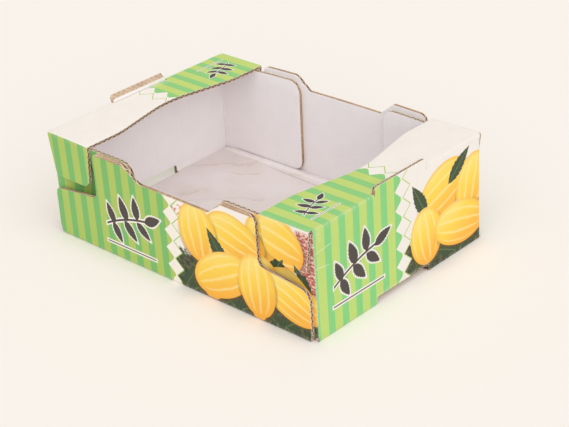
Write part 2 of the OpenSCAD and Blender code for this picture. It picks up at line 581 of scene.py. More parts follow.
@dataclass(frozen=True)
class LongWall:
    """Front or back wall: tongues at its ends, raised stretches and a dip between ramps."""

    sizes: TraySizes
    board: Board
    way: Way
    height: float
    left_ramp_radius: float
    dip_depth: float = 17.0
    dip_left: float = -55.0
    dip_right: float = 59.0
    ramp_run: float = 21.0
    right_ramp_radius: float = 2.5
    shoulder_radius: float = 10.0
    cut_slant: float = 0.0
    tongue_tip: float = 61.0
    tongue_root: float = 69.0
    tip_radii: tuple[float, float] = (8.0, 16.0)
    root_radius: float = 9.0
    foot_rise: float = 2.5
    foot_radius: float = 14.0
    slant_run: float = 3.0

    @property
    def dip_height(self) -> float:
        """Height of the dip's edge above the table."""
        return self.height - self.dip_depth

    def ramp(self, side: int) -> Array:
        """Runs the edge up one ramp.

        Args:
            side: -1 for the left ramp and 1 for the right one.

        Returns:
            Points (x, z) from the dip's edge to the raised stretch's edge.
        """
        foot = self.dip_left if side < 0 else self.dip_right
        radius = self.left_ramp_radius if side < 0 else self.right_ramp_radius
        head = foot + side * self.ramp_run
        line = rounded([
            (0, self.dip_height, 0), (foot, self.dip_height, radius),
            (head, self.height, radius), (side * self.sizes.cutout_x, self.height, 0),
        ])
        return line[1:-1]

    def dip_marks(self) -> list[float]:
        """Finds where the wall's columns meet its two ramps.

        Returns:
            Shares of the wall's length.
        """
        inner = self.sizes.cutout_x - self.board.rim
        left, right = self.ramp(-1)[0, 0], self.ramp(1)[0, 0]
        spots = [left - self.board.rim, left, right, right + self.board.rim]
        return [(x + inner) / (2 * inner) for x in spots]

    def end_line(self, side: int) -> Array:
        """Edge of one free end, from the fold past the tongue to the dip's height.

        Args:
            side: -1 for the left end and 1 for the right one.

        Returns:
            Points (x, z), from the fold upwards.
        """
        pick = 0 if side < 0 else 1
        free = self.sizes.wall_left if side < 0 else self.sizes.wall_right
        inset = self.sizes.foot_inset[pick]
        return rounded([
            (free - side * inset, self.board.fold_outer, 0),
            (free, self.board.fold_outer + self.foot_rise * inset, self.foot_radius),
            (free, self.tongue_tip, self.tip_radii[pick]),
            (side * self.sizes.cutout_x, self.tongue_root, self.root_radius),
            (side * self.sizes.cutout_x, self.dip_height, 0),
        ])

    def patch(self, grid: Array, rows: Array, cut: dict[Edge, slice]) -> Patch:
        """Wraps a grid in the wall's plane as a patch.

        Args:
            grid: Positions along the length.
            rows: Heights.
            cut: The cut edges and which of their cells are cut.

        Returns:
            The patch, with its print and its flutes.
        """
        s, b, sy = self.sizes, self.board, self.way.value
        start = s.half_width - 2 * b.fold_outer + b.fold_length
        edge = np.concatenate([self.ramp(-1)[::-1], self.ramp(1)])

        def place(a: Array, c: Array, w: Array) -> tuple[Array, Array, Array]:
            """Stands the wall up, its upper edge cut lower on the outside.

            Args:
                a: Distance along the flutes.
                c: Distance across the flutes.
                w: Depth below the printed face.

            Returns:
                The three coordinates.
            """
            top = np.interp(a, edge[:, 0], edge[:, 1])
            raised = ease(top, self.dip_height, self.height)
            near_top = ease(c, top - self.slant_run, top)
            drop = self.cut_slant * raised * near_top * (1 - w / b.thickness)
            return a, sy * (s.half_width - w), c - drop

        return Patch(
            grid, rows, sy * (start + rows), place,
            lambda a, c: (-sy * a, c), Zone.LONG_SIDE, cut, 0.0, tuple(cut),
        )

    def patches(self, density: Density, shares: Array) -> list[Patch]:
        """Divides the wall into its lower stretch and the two raised ones.

        Args:
            density: How finely the paper is divided.
            shares: Columns along the length, from 0 to 1, the ramps' feet among them.

        Returns:
            The wall's patches.
        """
        b = self.board
        rim = (b.rim, b.rim)
        lines = {side: self.end_line(side) for side in (-1, 1)}
        marks = [*lines[-1][:, 1], *lines[1][:, 1], self.dip_height - b.rim]
        rows = rows_between(b.fold_outer, self.dip_height, marks, density.row)
        ends = {side: np.interp(rows, lines[side][:, 1], lines[side][:, 0]) for side in lines}
        grid = columns(ends[-1], ends[1], shares, rim)
        top = grid[-1]
        at = {side: int(np.argmin(np.abs(top - self.ramp(side)[0, 0]))) for side in (-1, 1)}
        made = [self.patch(grid, rows, {**BOTH_ENDS, Edge.LAST_ROW: slice(at[-1], at[1])})]
        for side in (-1, 1):
            outer = rounded([
                (side * self.sizes.cutout_x, self.dip_height, 0),
                (side * self.sizes.cutout_x, self.height, self.shoulder_radius),
                (0, self.height, 0),
            ])[:-1]
            ramp = self.ramp(side)
            marks = [*outer[:, 1], *ramp[:, 1], self.height - b.rim]
            rows = rows_between(self.dip_height, self.height, marks, density.row)
            edges = [np.interp(rows, line[:, 1], line[:, 0]) for line in (outer, ramp)]
            first, last = edges if side < 0 else edges[::-1]
            own = top[: at[-1] + 1] if side < 0 else top[at[1]:]
            inner = (own[1:-1] - own[1]) / (own[-2] - own[1])
            cut = {**BOTH_ENDS, Edge.LAST_ROW: ALL_CELLS}
            made.append(self.patch(columns(first, last, inner, rim), rows, cut))
        return made


@dataclass(frozen=True)
class TrayEnd:
    """Everything that folds up from one end: end wall, stacking tab, shelf, flaps and side tabs."""

    sizes: TraySizes
    board: Board
    way: Way
    slanted_tabs: bool
    print_shift: float
    notch_height: float
    stack_splay: float
    stack_slant: float
    stack_radius: float
    flap_bow: float
    tab_outer: float
    tab_inner_radius: float
    stack_plug: float
    # Paleness of the plug, painted light in its shaded recess
    plug_tone: float
    corner_crush: float
    flap_print_shift: float
    stack_top: float = 143.5
    stack_step: float = 3.0
    stack_slit: float = 1.6
    slit_run: float = 4.0
    slit_rise: tuple[float, float] = (-4.0, 1.0)
    splay_start: float = 3.0
    wall_first: float = 14.0
    foot_crush: float = 0.75
    foot_crush_run: float = 6.0
    corner_crush_run: float = 5.0
    scoop_depth: float = 17.0
    scoop_flat: float = 30.0
    scoop_length: float = 190.0
    scoop_radius: float = 110.0
    flap_length: float = 142.0
    flap_foot: float = 7.5
    flap_foot_run: float = 22.0
    flap_middle: float = 70.0
    flap_top: float = 129.2
    flap_foot_radius: float = 13.0
    flap_top_radius: float = 16.0
    flap_bow_z: float = 76.0
    bow_half: float = 34.0
    bow_start: float = 8.0
    bow_past: float = 4.0
    bow_step: float = 7.5
    flap_corner: float = 5.0
    tab_foot: float = 56.0
    tab_outer_taper: float = 6.4
    tab_taper: float = 5.0
    tab_print_shift: float = -6.6
    tab_radius: float = 8.0
    tab_corner: float = 0.8
    slant_length: float = 38.0
    slant_height: float = 13.0

    @property
    def end_half(self) -> float:
        """Half the width over the end wall and its flaps."""
        return self.sizes.half_width - self.board.thickness - self.sizes.ply_gap

    def notch_line(self) -> Array:
        """Points (y, z) along the foot notch's edge."""
        return hump(self.sizes.notch_half, 0, self.notch_height, self.sizes.notch_radius)

    def stack_line(self) -> Array:
        """Points (y, z) along the stacking tab's upper edge."""
        return hump(self.sizes.stack_half, self.sizes.height, self.stack_top, self.stack_radius)

    def scoop_line(self) -> Array:
        """Runs along the shelf's inner edge.

        Returns:
            Points (y, distance from the tray's end), from one side to the other.
        """
        s, b = self.sizes, self.board
        reach = s.half_width - b.fold_outer
        deep, flat, half = s.shelf_depth, self.scoop_flat / 2, self.scoop_length / 2
        shallow = deep - self.scoop_depth
        return rounded([
            (-reach, deep, 0), (-half, deep, self.scoop_radius), (-flat, shallow, self.scoop_radius),
            (flat, shallow, self.scoop_radius), (half, deep, self.scoop_radius), (reach, deep, 0),
        ])

    def breaks(self) -> list[float]:
        """Lists the rows at which the end's panels start, stop or change.

        Returns:
            Distances across the tray, from front to back.
        """
        s, b = self.sizes, self.board
        half = [
            s.stack_half, s.stack_gap_half, s.notch_half, self.end_half - b.fold_outer,
            s.half_width - b.fold_outer - s.ply_gap, s.half_width - b.fold_outer, self.end_half,
        ]
        return [-y for y in reversed(half)] + half

    def marks(self) -> list[float]:
        """Lists every row that the floor and the end's panels share.

        Returns:
            Distances across the tray, in no order.
        """
        lines = (self.notch_line(), self.stack_line(), self.scoop_line())
        rim = self.sizes.stack_half - self.board.rim
        return [*self.breaks(), -rim, rim, *(float(y) for line in lines for y in line[:, 0])]

    def end_map(self, y: Array, up: Array) -> tuple[Array, Array]:
        """Coordinates in the print of an end, from left to right as seen from outside."""
        return self.way.value * y + self.print_shift, up

    def along_side(self, side: Way, inward: Array) -> Array:
        """Distance along a long side as seen from outside, from the distance inwards from the end."""
        return -side.value * self.way.value * (self.sizes.half_length - inward)

    def wall_columns(self, density: Density) -> Array:
        """Spreads the end wall's columns.

        Args:
            density: How finely the paper is divided.

        Returns:
            Heights above the table.
        """
        low, high = self.board.fold_outer, self.sizes.height - self.board.fold_outer
        count = max(3, math.ceil((high - self.wall_first) / density.column))
        return np.array([low, *np.linspace(self.wall_first, high, count + 1)])

    def shelf_columns(self, rows: Array, density: Density) -> Array:
        """Spreads the shelf's columns.

        Args:
            rows: Distances across the tray.
            density: How finely the paper is divided.

        Returns:
            Distances from the tray's end, one line a row.
        """
        line = self.scoop_line()
        last = np.interp(rows, line[:, 0], line[:, 1])
        first = np.full_like(rows, self.board.fold_outer)
        shares = even(self.sizes.shelf_depth, density.column)
        return columns(first, last, shares, (0, self.board.rim))

    def middle_patches(self, density: Density) -> list[Patch]:
        """Makes the panels that share the floor's rows, stretch by stretch across the width.

        Args:
            density: How finely the paper is divided.

        Returns:
            Patches of the folds, the end wall, the stacking tab and the shelf.
        """
        s, b, sx = self.sizes, self.board, self.way.value
        outer, root = b.fold_outer, s.half_length - b.fold_outer
        shelf_half, foot_half = s.half_width - outer, s.half_width - outer - s.ply_gap
        wall_half = self.end_half - outer
        turn = np.linspace(0, 1, density.bend + 1)
        heights = self.wall_columns(density)
        notch, stack = self.notch_line(), self.stack_line()
        marks = self.marks()

        def bottom_fold(a: Array, c: Array, w: Array) -> tuple[Array, Array, Array]:
            """Bends the floor up into the end wall."""
            down, out = b.bend(a, w * uncrushed(c, self.foot_crush, self.foot_crush_run, foot_half))
            return sx * (root + out), c, outer - down

        def top_fold(a: Array, c: Array, w: Array) -> tuple[Array, Array, Array]:
            """Bends the end wall over into the shelf."""
            out, up = b.bend(a, w * uncrushed(c, self.corner_crush, self.corner_crush_run, self.end_half))
            return sx * (root + out), c, s.height - outer + up

        def wall(a: Array, c: Array, w: Array) -> tuple[Array, Array, Array]:
            """Stands the end wall up."""
            return sx * (s.half_length - w), c, a

        def stack_tab(a: Array, c: Array, w: Array) -> tuple[Array, Array, Array]:
            """Stands the stacking tab up, with its outer papers splayed towards the top.

            Args:
                a: Distance along the flutes.
                c: Distance across the flutes.
                w: Depth below the printed face.

            Returns:
                The three coordinates.
            """
            near_top = ease(a, s.height - self.splay_start, self.stack_top)
            splay = self.stack_splay * near_top * (1 - w / b.thickness)
            from_here, rise = s.stack_half - self.slit_run, [s.height + z for z in self.slit_rise]
            slit = self.stack_slit * ease(-sx * c, from_here, s.stack_half) * ease(a, *rise)
            shut = (s.stack_gap_half - s.stack_half) * ease(sx * c, from_here, s.stack_half)
            height = a - self.stack_slant * near_top * w / b.thickness
            return sx * (s.half_length - w + splay), c + sx * (slit + shut), height

        def shelf(a: Array, c: Array, w: Array) -> tuple[Array, Array, Array]:
            """Lays the shelf in over the end."""
            return sx * (s.half_length - a), c, s.height - w

        made = []
        edges = self.breaks()
        for low, high in zip(edges, edges[1:]):
            rows = rows_between(low, high, marks, density.row)
            quarter = columns(np.zeros_like(rows), np.full_like(rows, QUARTER), turn)
            worn = np.sin(2 * quarter)
            at = abs(low + high) / 2
            if s.notch_half < at < foot_half:
                cut = row_cuts(low, high, (s.notch_half, foot_half))
                made.append(Patch(
                    quarter, rows, rows, bottom_fold,
                    lambda a, c: self.end_map(c, outer * a / QUARTER), Zone.END, cut, worn,
                ))
            if at < wall_half:
                grid = np.broadcast_to(heights, (len(rows), len(heights))).copy()
                cut = {}
                if at < s.notch_half:
                    grid[:, 0] = np.interp(rows, notch[:, 0], notch[:, 1])
                    cut[Edge.FIRST_COLUMN] = ALL_CELLS
                if s.stack_half < at < s.stack_gap_half:
                    cut[Edge.LAST_COLUMN] = ALL_CELLS
                made.append(Patch(grid, rows, rows, wall, lambda a, c: self.end_map(c, a), Zone.END, cut))
            if at < s.stack_half:
                tops = np.interp(rows, stack[:, 0], stack[:, 1])
                steps = even(self.stack_top - heights[-1], self.stack_step)
                grid = columns(np.full_like(rows, heights[-1]), tops, steps, (0, b.rim))
                cut = {edge: ALL_CELLS for edge in (Edge.FIRST_ROW, Edge.LAST_ROW, Edge.LAST_COLUMN)}
                made.append(Patch(
                    grid, rows, rows, stack_tab, lambda a, c: self.end_map(c, a), Zone.STACK_TAB, cut,
                    0.0, tuple(cut), self.stack_plug, self.plug_tone,
                ))
            if at > s.stack_gap_half:
                cut = row_cuts(low, high, (s.stack_gap_half, self.end_half))
                if at > wall_half:
                    cut[Edge.FIRST_COLUMN] = ALL_CELLS
                if at > shelf_half:
                    cut[Edge.LAST_COLUMN] = ALL_CELLS
                made.append(Patch(
                    quarter, rows, rows, top_fold,
                    lambda a, c: self.end_map(c, s.height - outer + 2 * outer * a / QUARTER),
                    Zone.END, cut, worn,
                ))
            if at < shelf_half:
                cut = {Edge.LAST_COLUMN: ALL_CELLS}
                if at < s.stack_gap_half:
                    cut[Edge.FIRST_COLUMN] = ALL_CELLS
                made.append(Patch(
                    self.shelf_columns(rows, density), rows, rows, shelf,
                    lambda a, c: self.end_map(c, s.height + a), Zone.END, cut, 0.0, (Edge.LAST_COLUMN,),
                ))
        return made

    def flap_patches(self, side: Way, density: Density) -> list[Patch]:
        """Makes one corner flap with the fold that it hangs on.

        Args:
            side: Front or back.
            density: How finely the paper is divided.

        Returns:
            The fold in two halves, because its print changes at the corner, and the flap.
        """
        s, b, sx, sy = self.sizes, self.board, self.way.value, side.value
        outer, root = b.fold_outer, s.half_length - b.fold_outer
        start = self.end_half - outer
        low, high = self.flap_corner, self.flap_top
        bow = self.flap_bow if side is Way.NEGATIVE else 0.0
        inside = self.wall_columns(density)[1:]
        if bow > 0:
            inside = rows_between(inside[0], inside[-1], inside, self.bow_step)
        heights = np.array([low, low + b.rim, *inside[:-1], high - b.rim, high])
        count = max(2, math.ceil(max(density.bend, b.fold_length / density.row) / 2))

        def fold(a: Array, c: Array, w: Array) -> tuple[Array, Array, Array]:
            """Bends the end wall in along the long wall."""
            out, aside = b.bend(c, w)
            return sx * (root + out), sy * (start + aside), a

        def side_map(inward: Array) -> Array:
            """Distance along the print of the long side."""
            return self.along_side(side, inward) + self.flap_print_shift

        maps = [
            (Zone.END, lambda a, c: self.end_map(sy * (start + 2 * outer * c / QUARTER), a)),
            (Zone.LONG_SIDE, lambda a, c: (side_map(outer * (2 * c / QUARTER - 1)), a)),
        ]
        made = []
        for half, (zone, printed) in enumerate(maps):
            angle = np.linspace(half, half + 1, count + 1) * QUARTER / 2
            grid = np.broadcast_to(heights, (len(angle), len(heights)))
            flute = sy * (start + b.fold_length * angle / QUARTER)
            worn = np.sin(2 * angle)[:, None]
            made.append(Patch(grid, angle, flute, fold, printed, zone, BOTH_ENDS, worn, tuple(BOTH_ENDS)))
        free = self.flap_length
        foot = rounded([
            (outer, self.flap_corner, 0), (outer + self.flap_foot_run, self.flap_foot, 0),
            (free, self.flap_foot, self.flap_foot_radius), (free, self.flap_middle, 0),
        ])[:-1]
        top = rounded([
            (outer, self.flap_top, 0), (free, self.flap_top, self.flap_top_radius),
            (free, self.flap_middle, 0),
        ])[:-1]
        marks = [*foot[:, 0], *top[:, 0], free - b.rim]
        row_step = min(density.row, self.bow_step / 2) if bow > 0 else density.row
        rows = rows_between(outer, free, marks, row_step)
        first = np.interp(rows, foot[:, 0], foot[:, 1])
        last = np.interp(rows, top[:, 0], top[:, 1])
        shares = (heights[1:-1] - heights[1]) / (heights[-2] - heights[1])
        cut = {**BOTH_ENDS, Edge.LAST_ROW: ALL_CELLS}
        bow_length = s.half_length - s.cutout_x + self.bow_past - self.bow_start

        def panel(a: Array, c: Array, w: Array) -> tuple[Array, Array, Array]:
            """Stands the flap beside the long wall, bowed in where nothing holds it.

            Args:
                a: Distance along the flutes.
                c: Distance across the flutes.
                w: Depth below the printed face.

            Returns:
                The three coordinates.
            """
            free_way = np.sin(math.pi * np.clip((c - self.bow_start) / bow_length, 0, 1)) ** 2
            inward = bow * free_way * np.exp(-(((a - self.flap_bow_z) / self.bow_half) ** 2))
            return sx * (s.half_length - c), sy * (self.end_half - w - inward), a

        made.append(Patch(
            columns(first, last, shares, (b.rim, b.rim)), rows,
            sy * (start + b.fold_length + rows - outer), panel,
            lambda a, c: (side_map(c), a), Zone.LONG_SIDE, cut, 0.0, tuple(cut),
        ))
        return made

    def tab_patches(self, side: Way, density: Density) -> list[Patch]:
        """Makes one side tab of the shelf with the fold that it hangs on.

        Args:
            side: Front or back.
            density: How finely the paper is divided.

        Returns:
            The fold in two halves, because its print changes at the corner, and the tab.
        """
        s, b, sx, sy = self.sizes, self.board, self.way.value, side.value
        outer, root = b.fold_outer, s.half_width - b.fold_outer
        count = max(2, math.ceil(max(density.bend, b.fold_length / density.row) / 2))
        depths = self.shelf_columns(np.array([root]), density)[0]
        depths = np.array([self.tab_outer, self.tab_outer + b.rim, *depths[1:]])

        def fold(a: Array, c: Array, w: Array) -> tuple[Array, Array, Array]:
            """Bends the shelf down into the long wall's cut-out."""
            up, aside = b.bend(c, w)
            return sx * (s.half_length - a), sy * (root + aside), s.height - outer + up

        def side_map(inward: Array) -> Array:
            """Distance along the print of the long side."""
            return self.along_side(side, inward) + self.tab_print_shift

        def fold_height(angle: Array) -> Array:
            """Height in the print of a long side, from the angle about the fold."""
            return s.height - outer + 2 * outer * (1 - angle / QUARTER)

        maps = [
            (Zone.END, lambda a, c: self.end_map(sy * (root + 2 * outer * c / QUARTER), s.height + a)),
            (Zone.LONG_SIDE, lambda a, c: (side_map(a), fold_height(c))),
        ]
        made = []
        for half, (zone, printed) in enumerate(maps):
            angle = np.linspace(half, half + 1, count + 1) * QUARTER / 2
            grid = np.broadcast_to(depths, (len(angle), len(depths))).copy()
            grid[:, :2] += self.tab_corner * (1 - angle[:, None] / QUARTER) ** 2
            flute = sy * (root + b.fold_length * angle / QUARTER)
            worn = np.sin(2 * angle)[:, None]
            made.append(Patch(grid, angle, flute, fold, printed, zone, BOTH_ENDS, worn, tuple(BOTH_ENDS)))
        deep, foot, r = s.shelf_depth, self.tab_foot, self.tab_radius
        low_outer, low_inner = self.tab_outer + self.tab_outer_taper, deep - self.tab_taper
        corner = [(low_inner, foot, self.tab_inner_radius)]
        if self.slanted_tabs:
            corner = [(low_inner, foot - self.slant_height, r), (low_inner - self.slant_length, foot, r)]
        inner = rounded([(deep, outer, 0), *corner, (low_outer, foot, 0)])[:-1]
        outside = rounded([(self.tab_outer, outer, 0), (low_outer, foot, r), corner[-1]])[:-1]
        marks = [*inner[:, 1], *outside[:, 1], foot - b.rim]
        rows = rows_between(outer, foot, marks, density.row)
        first = np.interp(rows, outside[:, 1], outside[:, 0])
        last = np.interp(rows, inner[:, 1], inner[:, 0])
        shares = (depths[1:-1] - depths[1]) / (depths[-2] - depths[1])
        cut = {**BOTH_ENDS, Edge.LAST_ROW: ALL_CELLS}
        made.append(Patch(
            columns(first, last, shares, (b.rim, b.rim)), rows,
            sy * (root + b.fold_length + rows - outer),
            lambda a, c, w: (sx * (s.half_length - a), sy * (s.half_width - w), s.height - c),
            lambda a, c: (side_map(a), s.height - c), Zone.LONG_SIDE, cut, 0.0, tuple(cut),
        ))
        return made

    def patches(self, density: Density) -> list[Patch]:
        """Gathers all the patches of the end.

        Args:
            density: How finely the paper is divided.

        Returns:
            The end's patches.
        """
        made = self.middle_patches(density)
        for side in Way:
            made += self.flap_patches(side, density) + self.tab_patches(side, density)
        return made


class SheetMesh:
    """One paper of the board, gathered patch by patch into a mesh."""

    def __init__(self, paper: Paper, board: Board, sizes: TraySizes, settling: Settling) -> None:
        """Starts an empty sheet of one paper.

        Args:
            paper: Which of the three papers.
            board: The board that it is part of.
            sizes: The tray's sizes.
            settling: How the folded board has settled.
        """
        self.paper, self.board, self.sizes, self.settling = paper, board, sizes, settling
        self.points: list[Array] = []
        self.prints: list[Array] = []
        self.fibres: list[Array] = []
        self.wear: list[Array] = []
        self.rims: list[Array] = []
        self.quads: list[Array] = []
        self.slots: list[Array] = []
        self.count = 0

    def add_quads(self, quads: Array, outward: Array, where: Array, slot: int) -> None:
        """Adds quads, turned so that they face outward.

        Args:
            quads: Point numbers, four a row.
            outward: Direction that the middle quad has to face.
            where: The points that the numbers refer to, from the patch's first.
            slot: Material slot.
        """
        if not len(quads):
            return
        a, b, _, d = where[quads[len(quads) // 2] - self.count]
        if np.dot(np.cross(b - a, d - a), outward) < 0:
            quads = quads[:, ::-1]
        self.quads.append(quads)
        self.slots.append(np.full(len(quads), slot))

    def add(self, patch: Patch) -> None:
        """Adds both faces of a patch and the strips that close its cut edges.

        Args:
            patch: The stretch of board.
        """
        shape = patch.along.shape
        share = patch.pressed_share(self.board.rim)
        depths = [
            self.board.press(np.broadcast_to(depth[:, None], shape), share)
            for depth in self.board.faces(self.paper, patch.flute)
        ]
        upper, lower = (self.settling.move(patch.points(depth), self.sizes) for depth in depths)
        where = np.concatenate([upper.reshape(-1, 3), lower.reshape(-1, 3)])
        size = shape[0] * shape[1]
        top = np.arange(size).reshape(shape) + self.count
        low = top + size
        i, j = (shape[0] - 1) // 2, (shape[1] - 1) // 2
        out = upper[i, j] - lower[i, j]
        face_slots = {Paper.OUTER_LINER: (0, 1), Paper.INNER_LINER: (1, 0), Paper.FLUTING: (0, 0)}
        for grid, facing, slot in zip((top, low), (out, -out), face_slots[self.paper]):
            corners = [grid[:-1, :-1], grid[:-1, 1:], grid[1:, 1:], grid[1:, :-1]]
            self.add_quads(np.stack([c.ravel() for c in corners], axis=1), facing, where, slot)
        lines = {
            Edge.FIRST_ROW: (top[0], low[0], upper[0, j] - upper[1, j]),
            Edge.LAST_ROW: (top[-1], low[-1], upper[-1, j] - upper[-2, j]),
            Edge.FIRST_COLUMN: (top[:, 0], low[:, 0], upper[i, 0] - upper[i, 1]),
            Edge.LAST_COLUMN: (top[:, -1], low[:, -1], upper[i, -1] - upper[i, -2]),
        }
        rim_slot = 0 if self.paper is Paper.FLUTING else 1
        for edge, cells in patch.cut.items():
            a, b, facing = lines[edge]
            strip = np.stack([a[:-1], a[1:], b[1:], b[:-1]], axis=1)[cells]
            self.add_quads(strip, facing, where, rim_slot)
        self.points.append(where)
        self.store(*(values.reshape(size, *values.shape[2:]) for values in (
            patch.print_map(), patch.fibre_map(), np.broadcast_to(patch.fold, shape), patch.rim_mask(),
        )))
        self.count += 2 * size
        if self.paper is Paper.FLUTING:
            for edge in patch.rimmed:
                self.add_plug(patch, edge, lines[edge][2])

    def store(self, prints: Array, fibres: Array, wear: Array, rims: Array) -> None:
        """Keeps the values of points that lie in two like rows or layers.

        Args:
            prints: Their places in the print.
            fibres: Their places in the paper.
            wear: How far into a fold they lie, for the folds' wear and painted highlight.
            rims: How pale they are as a cut rim, or at a plug as painted light.
        """
        stores = (self.prints, self.fibres, self.wear, self.rims)
        for kept, values in zip(stores, (prints, fibres, wear, rims)):
            kept.append(np.concatenate([values, values]))

    def add_plug(self, patch: Patch, edge: Edge, facing: Array) -> None:
        """Closes the board a little inside one cut edge, where the die has crushed the fluting.

        Args:
            patch: The stretch of board.
            edge: The rimmed edge.
            facing: Direction out of the edge.
        """
        b = self.board
        recess = patch.plug_depth if edge in (Edge.FIRST_COLUMN, Edge.LAST_COLUMN) else SIDE_PLUG
        along, across = patch.plug(edge, recess)
        share = np.full_like(along, 1 - recess / b.rim).clip(0, 1)
        ends = [
            stacked(patch.place(along, across, b.press(np.full_like(share, depth), share)))
            for depth in (b.liner, b.thickness - b.liner)
        ]
        where = self.settling.move(np.concatenate(ends), self.sizes)
        a = np.arange(len(along)) + self.count
        c = a + len(along)
        self.add_quads(np.stack([a[:-1], a[1:], c[1:], c[:-1]], axis=1), facing, where, 0)
        self.points.append(where)
        spots = stacked([along, across])
        # Painted light: the plug's paleness stands in for light in its shaded recess.
        self.store(spots, spots, np.zeros_like(share), np.full_like(share, patch.plug_tone))
        self.count += len(where)

    def to_object(self) -> bpy.types.Object:
        """Makes the mesh object, welds its patches and marks its sharp edges.

        Returns:
            The object, linked to the scene, in metres.
        """
        name = self.paper.value
        mesh = bpy.data.meshes.new(name)
        quads = np.concatenate(self.quads)
        mesh.from_pydata((np.concatenate(self.points) * MM).tolist(), [], quads.tolist())
        mesh.polygons.foreach_set("material_index", np.concatenate(self.slots).astype(np.int32))
        corners = np.empty(len(mesh.loops), np.int32)
        mesh.loops.foreach_get("vertex_index", corners)
        for title, values in (("fibre", self.fibres), ("print", self.prints)):
            layer = mesh.uv_layers.new(name=title)
            layer.uv.foreach_set("vector", np.concatenate(values)[corners].astype(np.float32).ravel())
        for title, values in (("fold_wear", self.wear), ("cut_rim_and_plug_light", self.rims)):
            attribute = mesh.attributes.new(title, "FLOAT", "POINT")
            attribute.data.foreach_set("value", np.concatenate(values).astype(np.float32))
        work = bmesh.new()
        work.from_mesh(mesh)
        bmesh.ops.remove_doubles(work, verts=work.verts, dist=WELD * MM)
        work.to_mesh(mesh)
        work.free()
        mesh.polygons.foreach_set("use_smooth", np.ones(len(mesh.polygons), bool))
        mesh.set_sharp_from_angle(angle=SHARP)
        mesh.update()
        piece = bpy.data.objects.new(name, mesh)
        bpy.context.scene.collection.objects.link(piece)
        return piece


Colour = tuple[float, float, float, float]
Feed = Union["Wire", float, tuple]
Placed = tuple[float, float, float, float, float]

# Distance between the stretches of the print along its map, in millimetres
ZONE_STEP = 1000.0


def ink(red: int, green: int, blue: int) -> Colour:
    """A colour given as it looks on screen, as linear values."""
    parts = [c / 255 for c in (red, green, blue)]
    return (*(c / 12.92 if c <= 0.04045 else ((c + 0.055) / 1.055) ** 2.4 for c in parts), 1.0)


class Wire:
    """One value, vector or colour on its way through a node tree, which adds and multiplies."""

    def __init__(self, net: "Net", socket: bpy.types.NodeSocket) -> None:
        """Holds an output socket of a net."""
        self.net, self.socket = net, socket

    def __add__(self, other: Feed) -> "Wire":
        """Sum."""
        return self.net.math("ADD", self, other)

    def __sub__(self, other: Feed) -> "Wire":
        """Difference."""
        return self.net.math("SUBTRACT", self, other)

    def __rsub__(self, other: Feed) -> "Wire":
        """Difference from a number."""
        return self.net.math("SUBTRACT", other, self)

    def __mul__(self, other: Feed) -> "Wire":
        """Product."""
        return self.net.math("MULTIPLY", self, other)

    def __truediv__(self, other: Feed) -> "Wire":
        """Quotient."""
        return self.net.math("DIVIDE", self, other)

    def size(self) -> "Wire":
        """Absolute value."""
        return self.net.math("ABSOLUTE", self)

    def saw(self) -> "Wire":
        """Distance to the nearest whole number, from 0 to 0.5."""
        return (self.net.math("FRACT", self + 0.5) - 0.5).size()


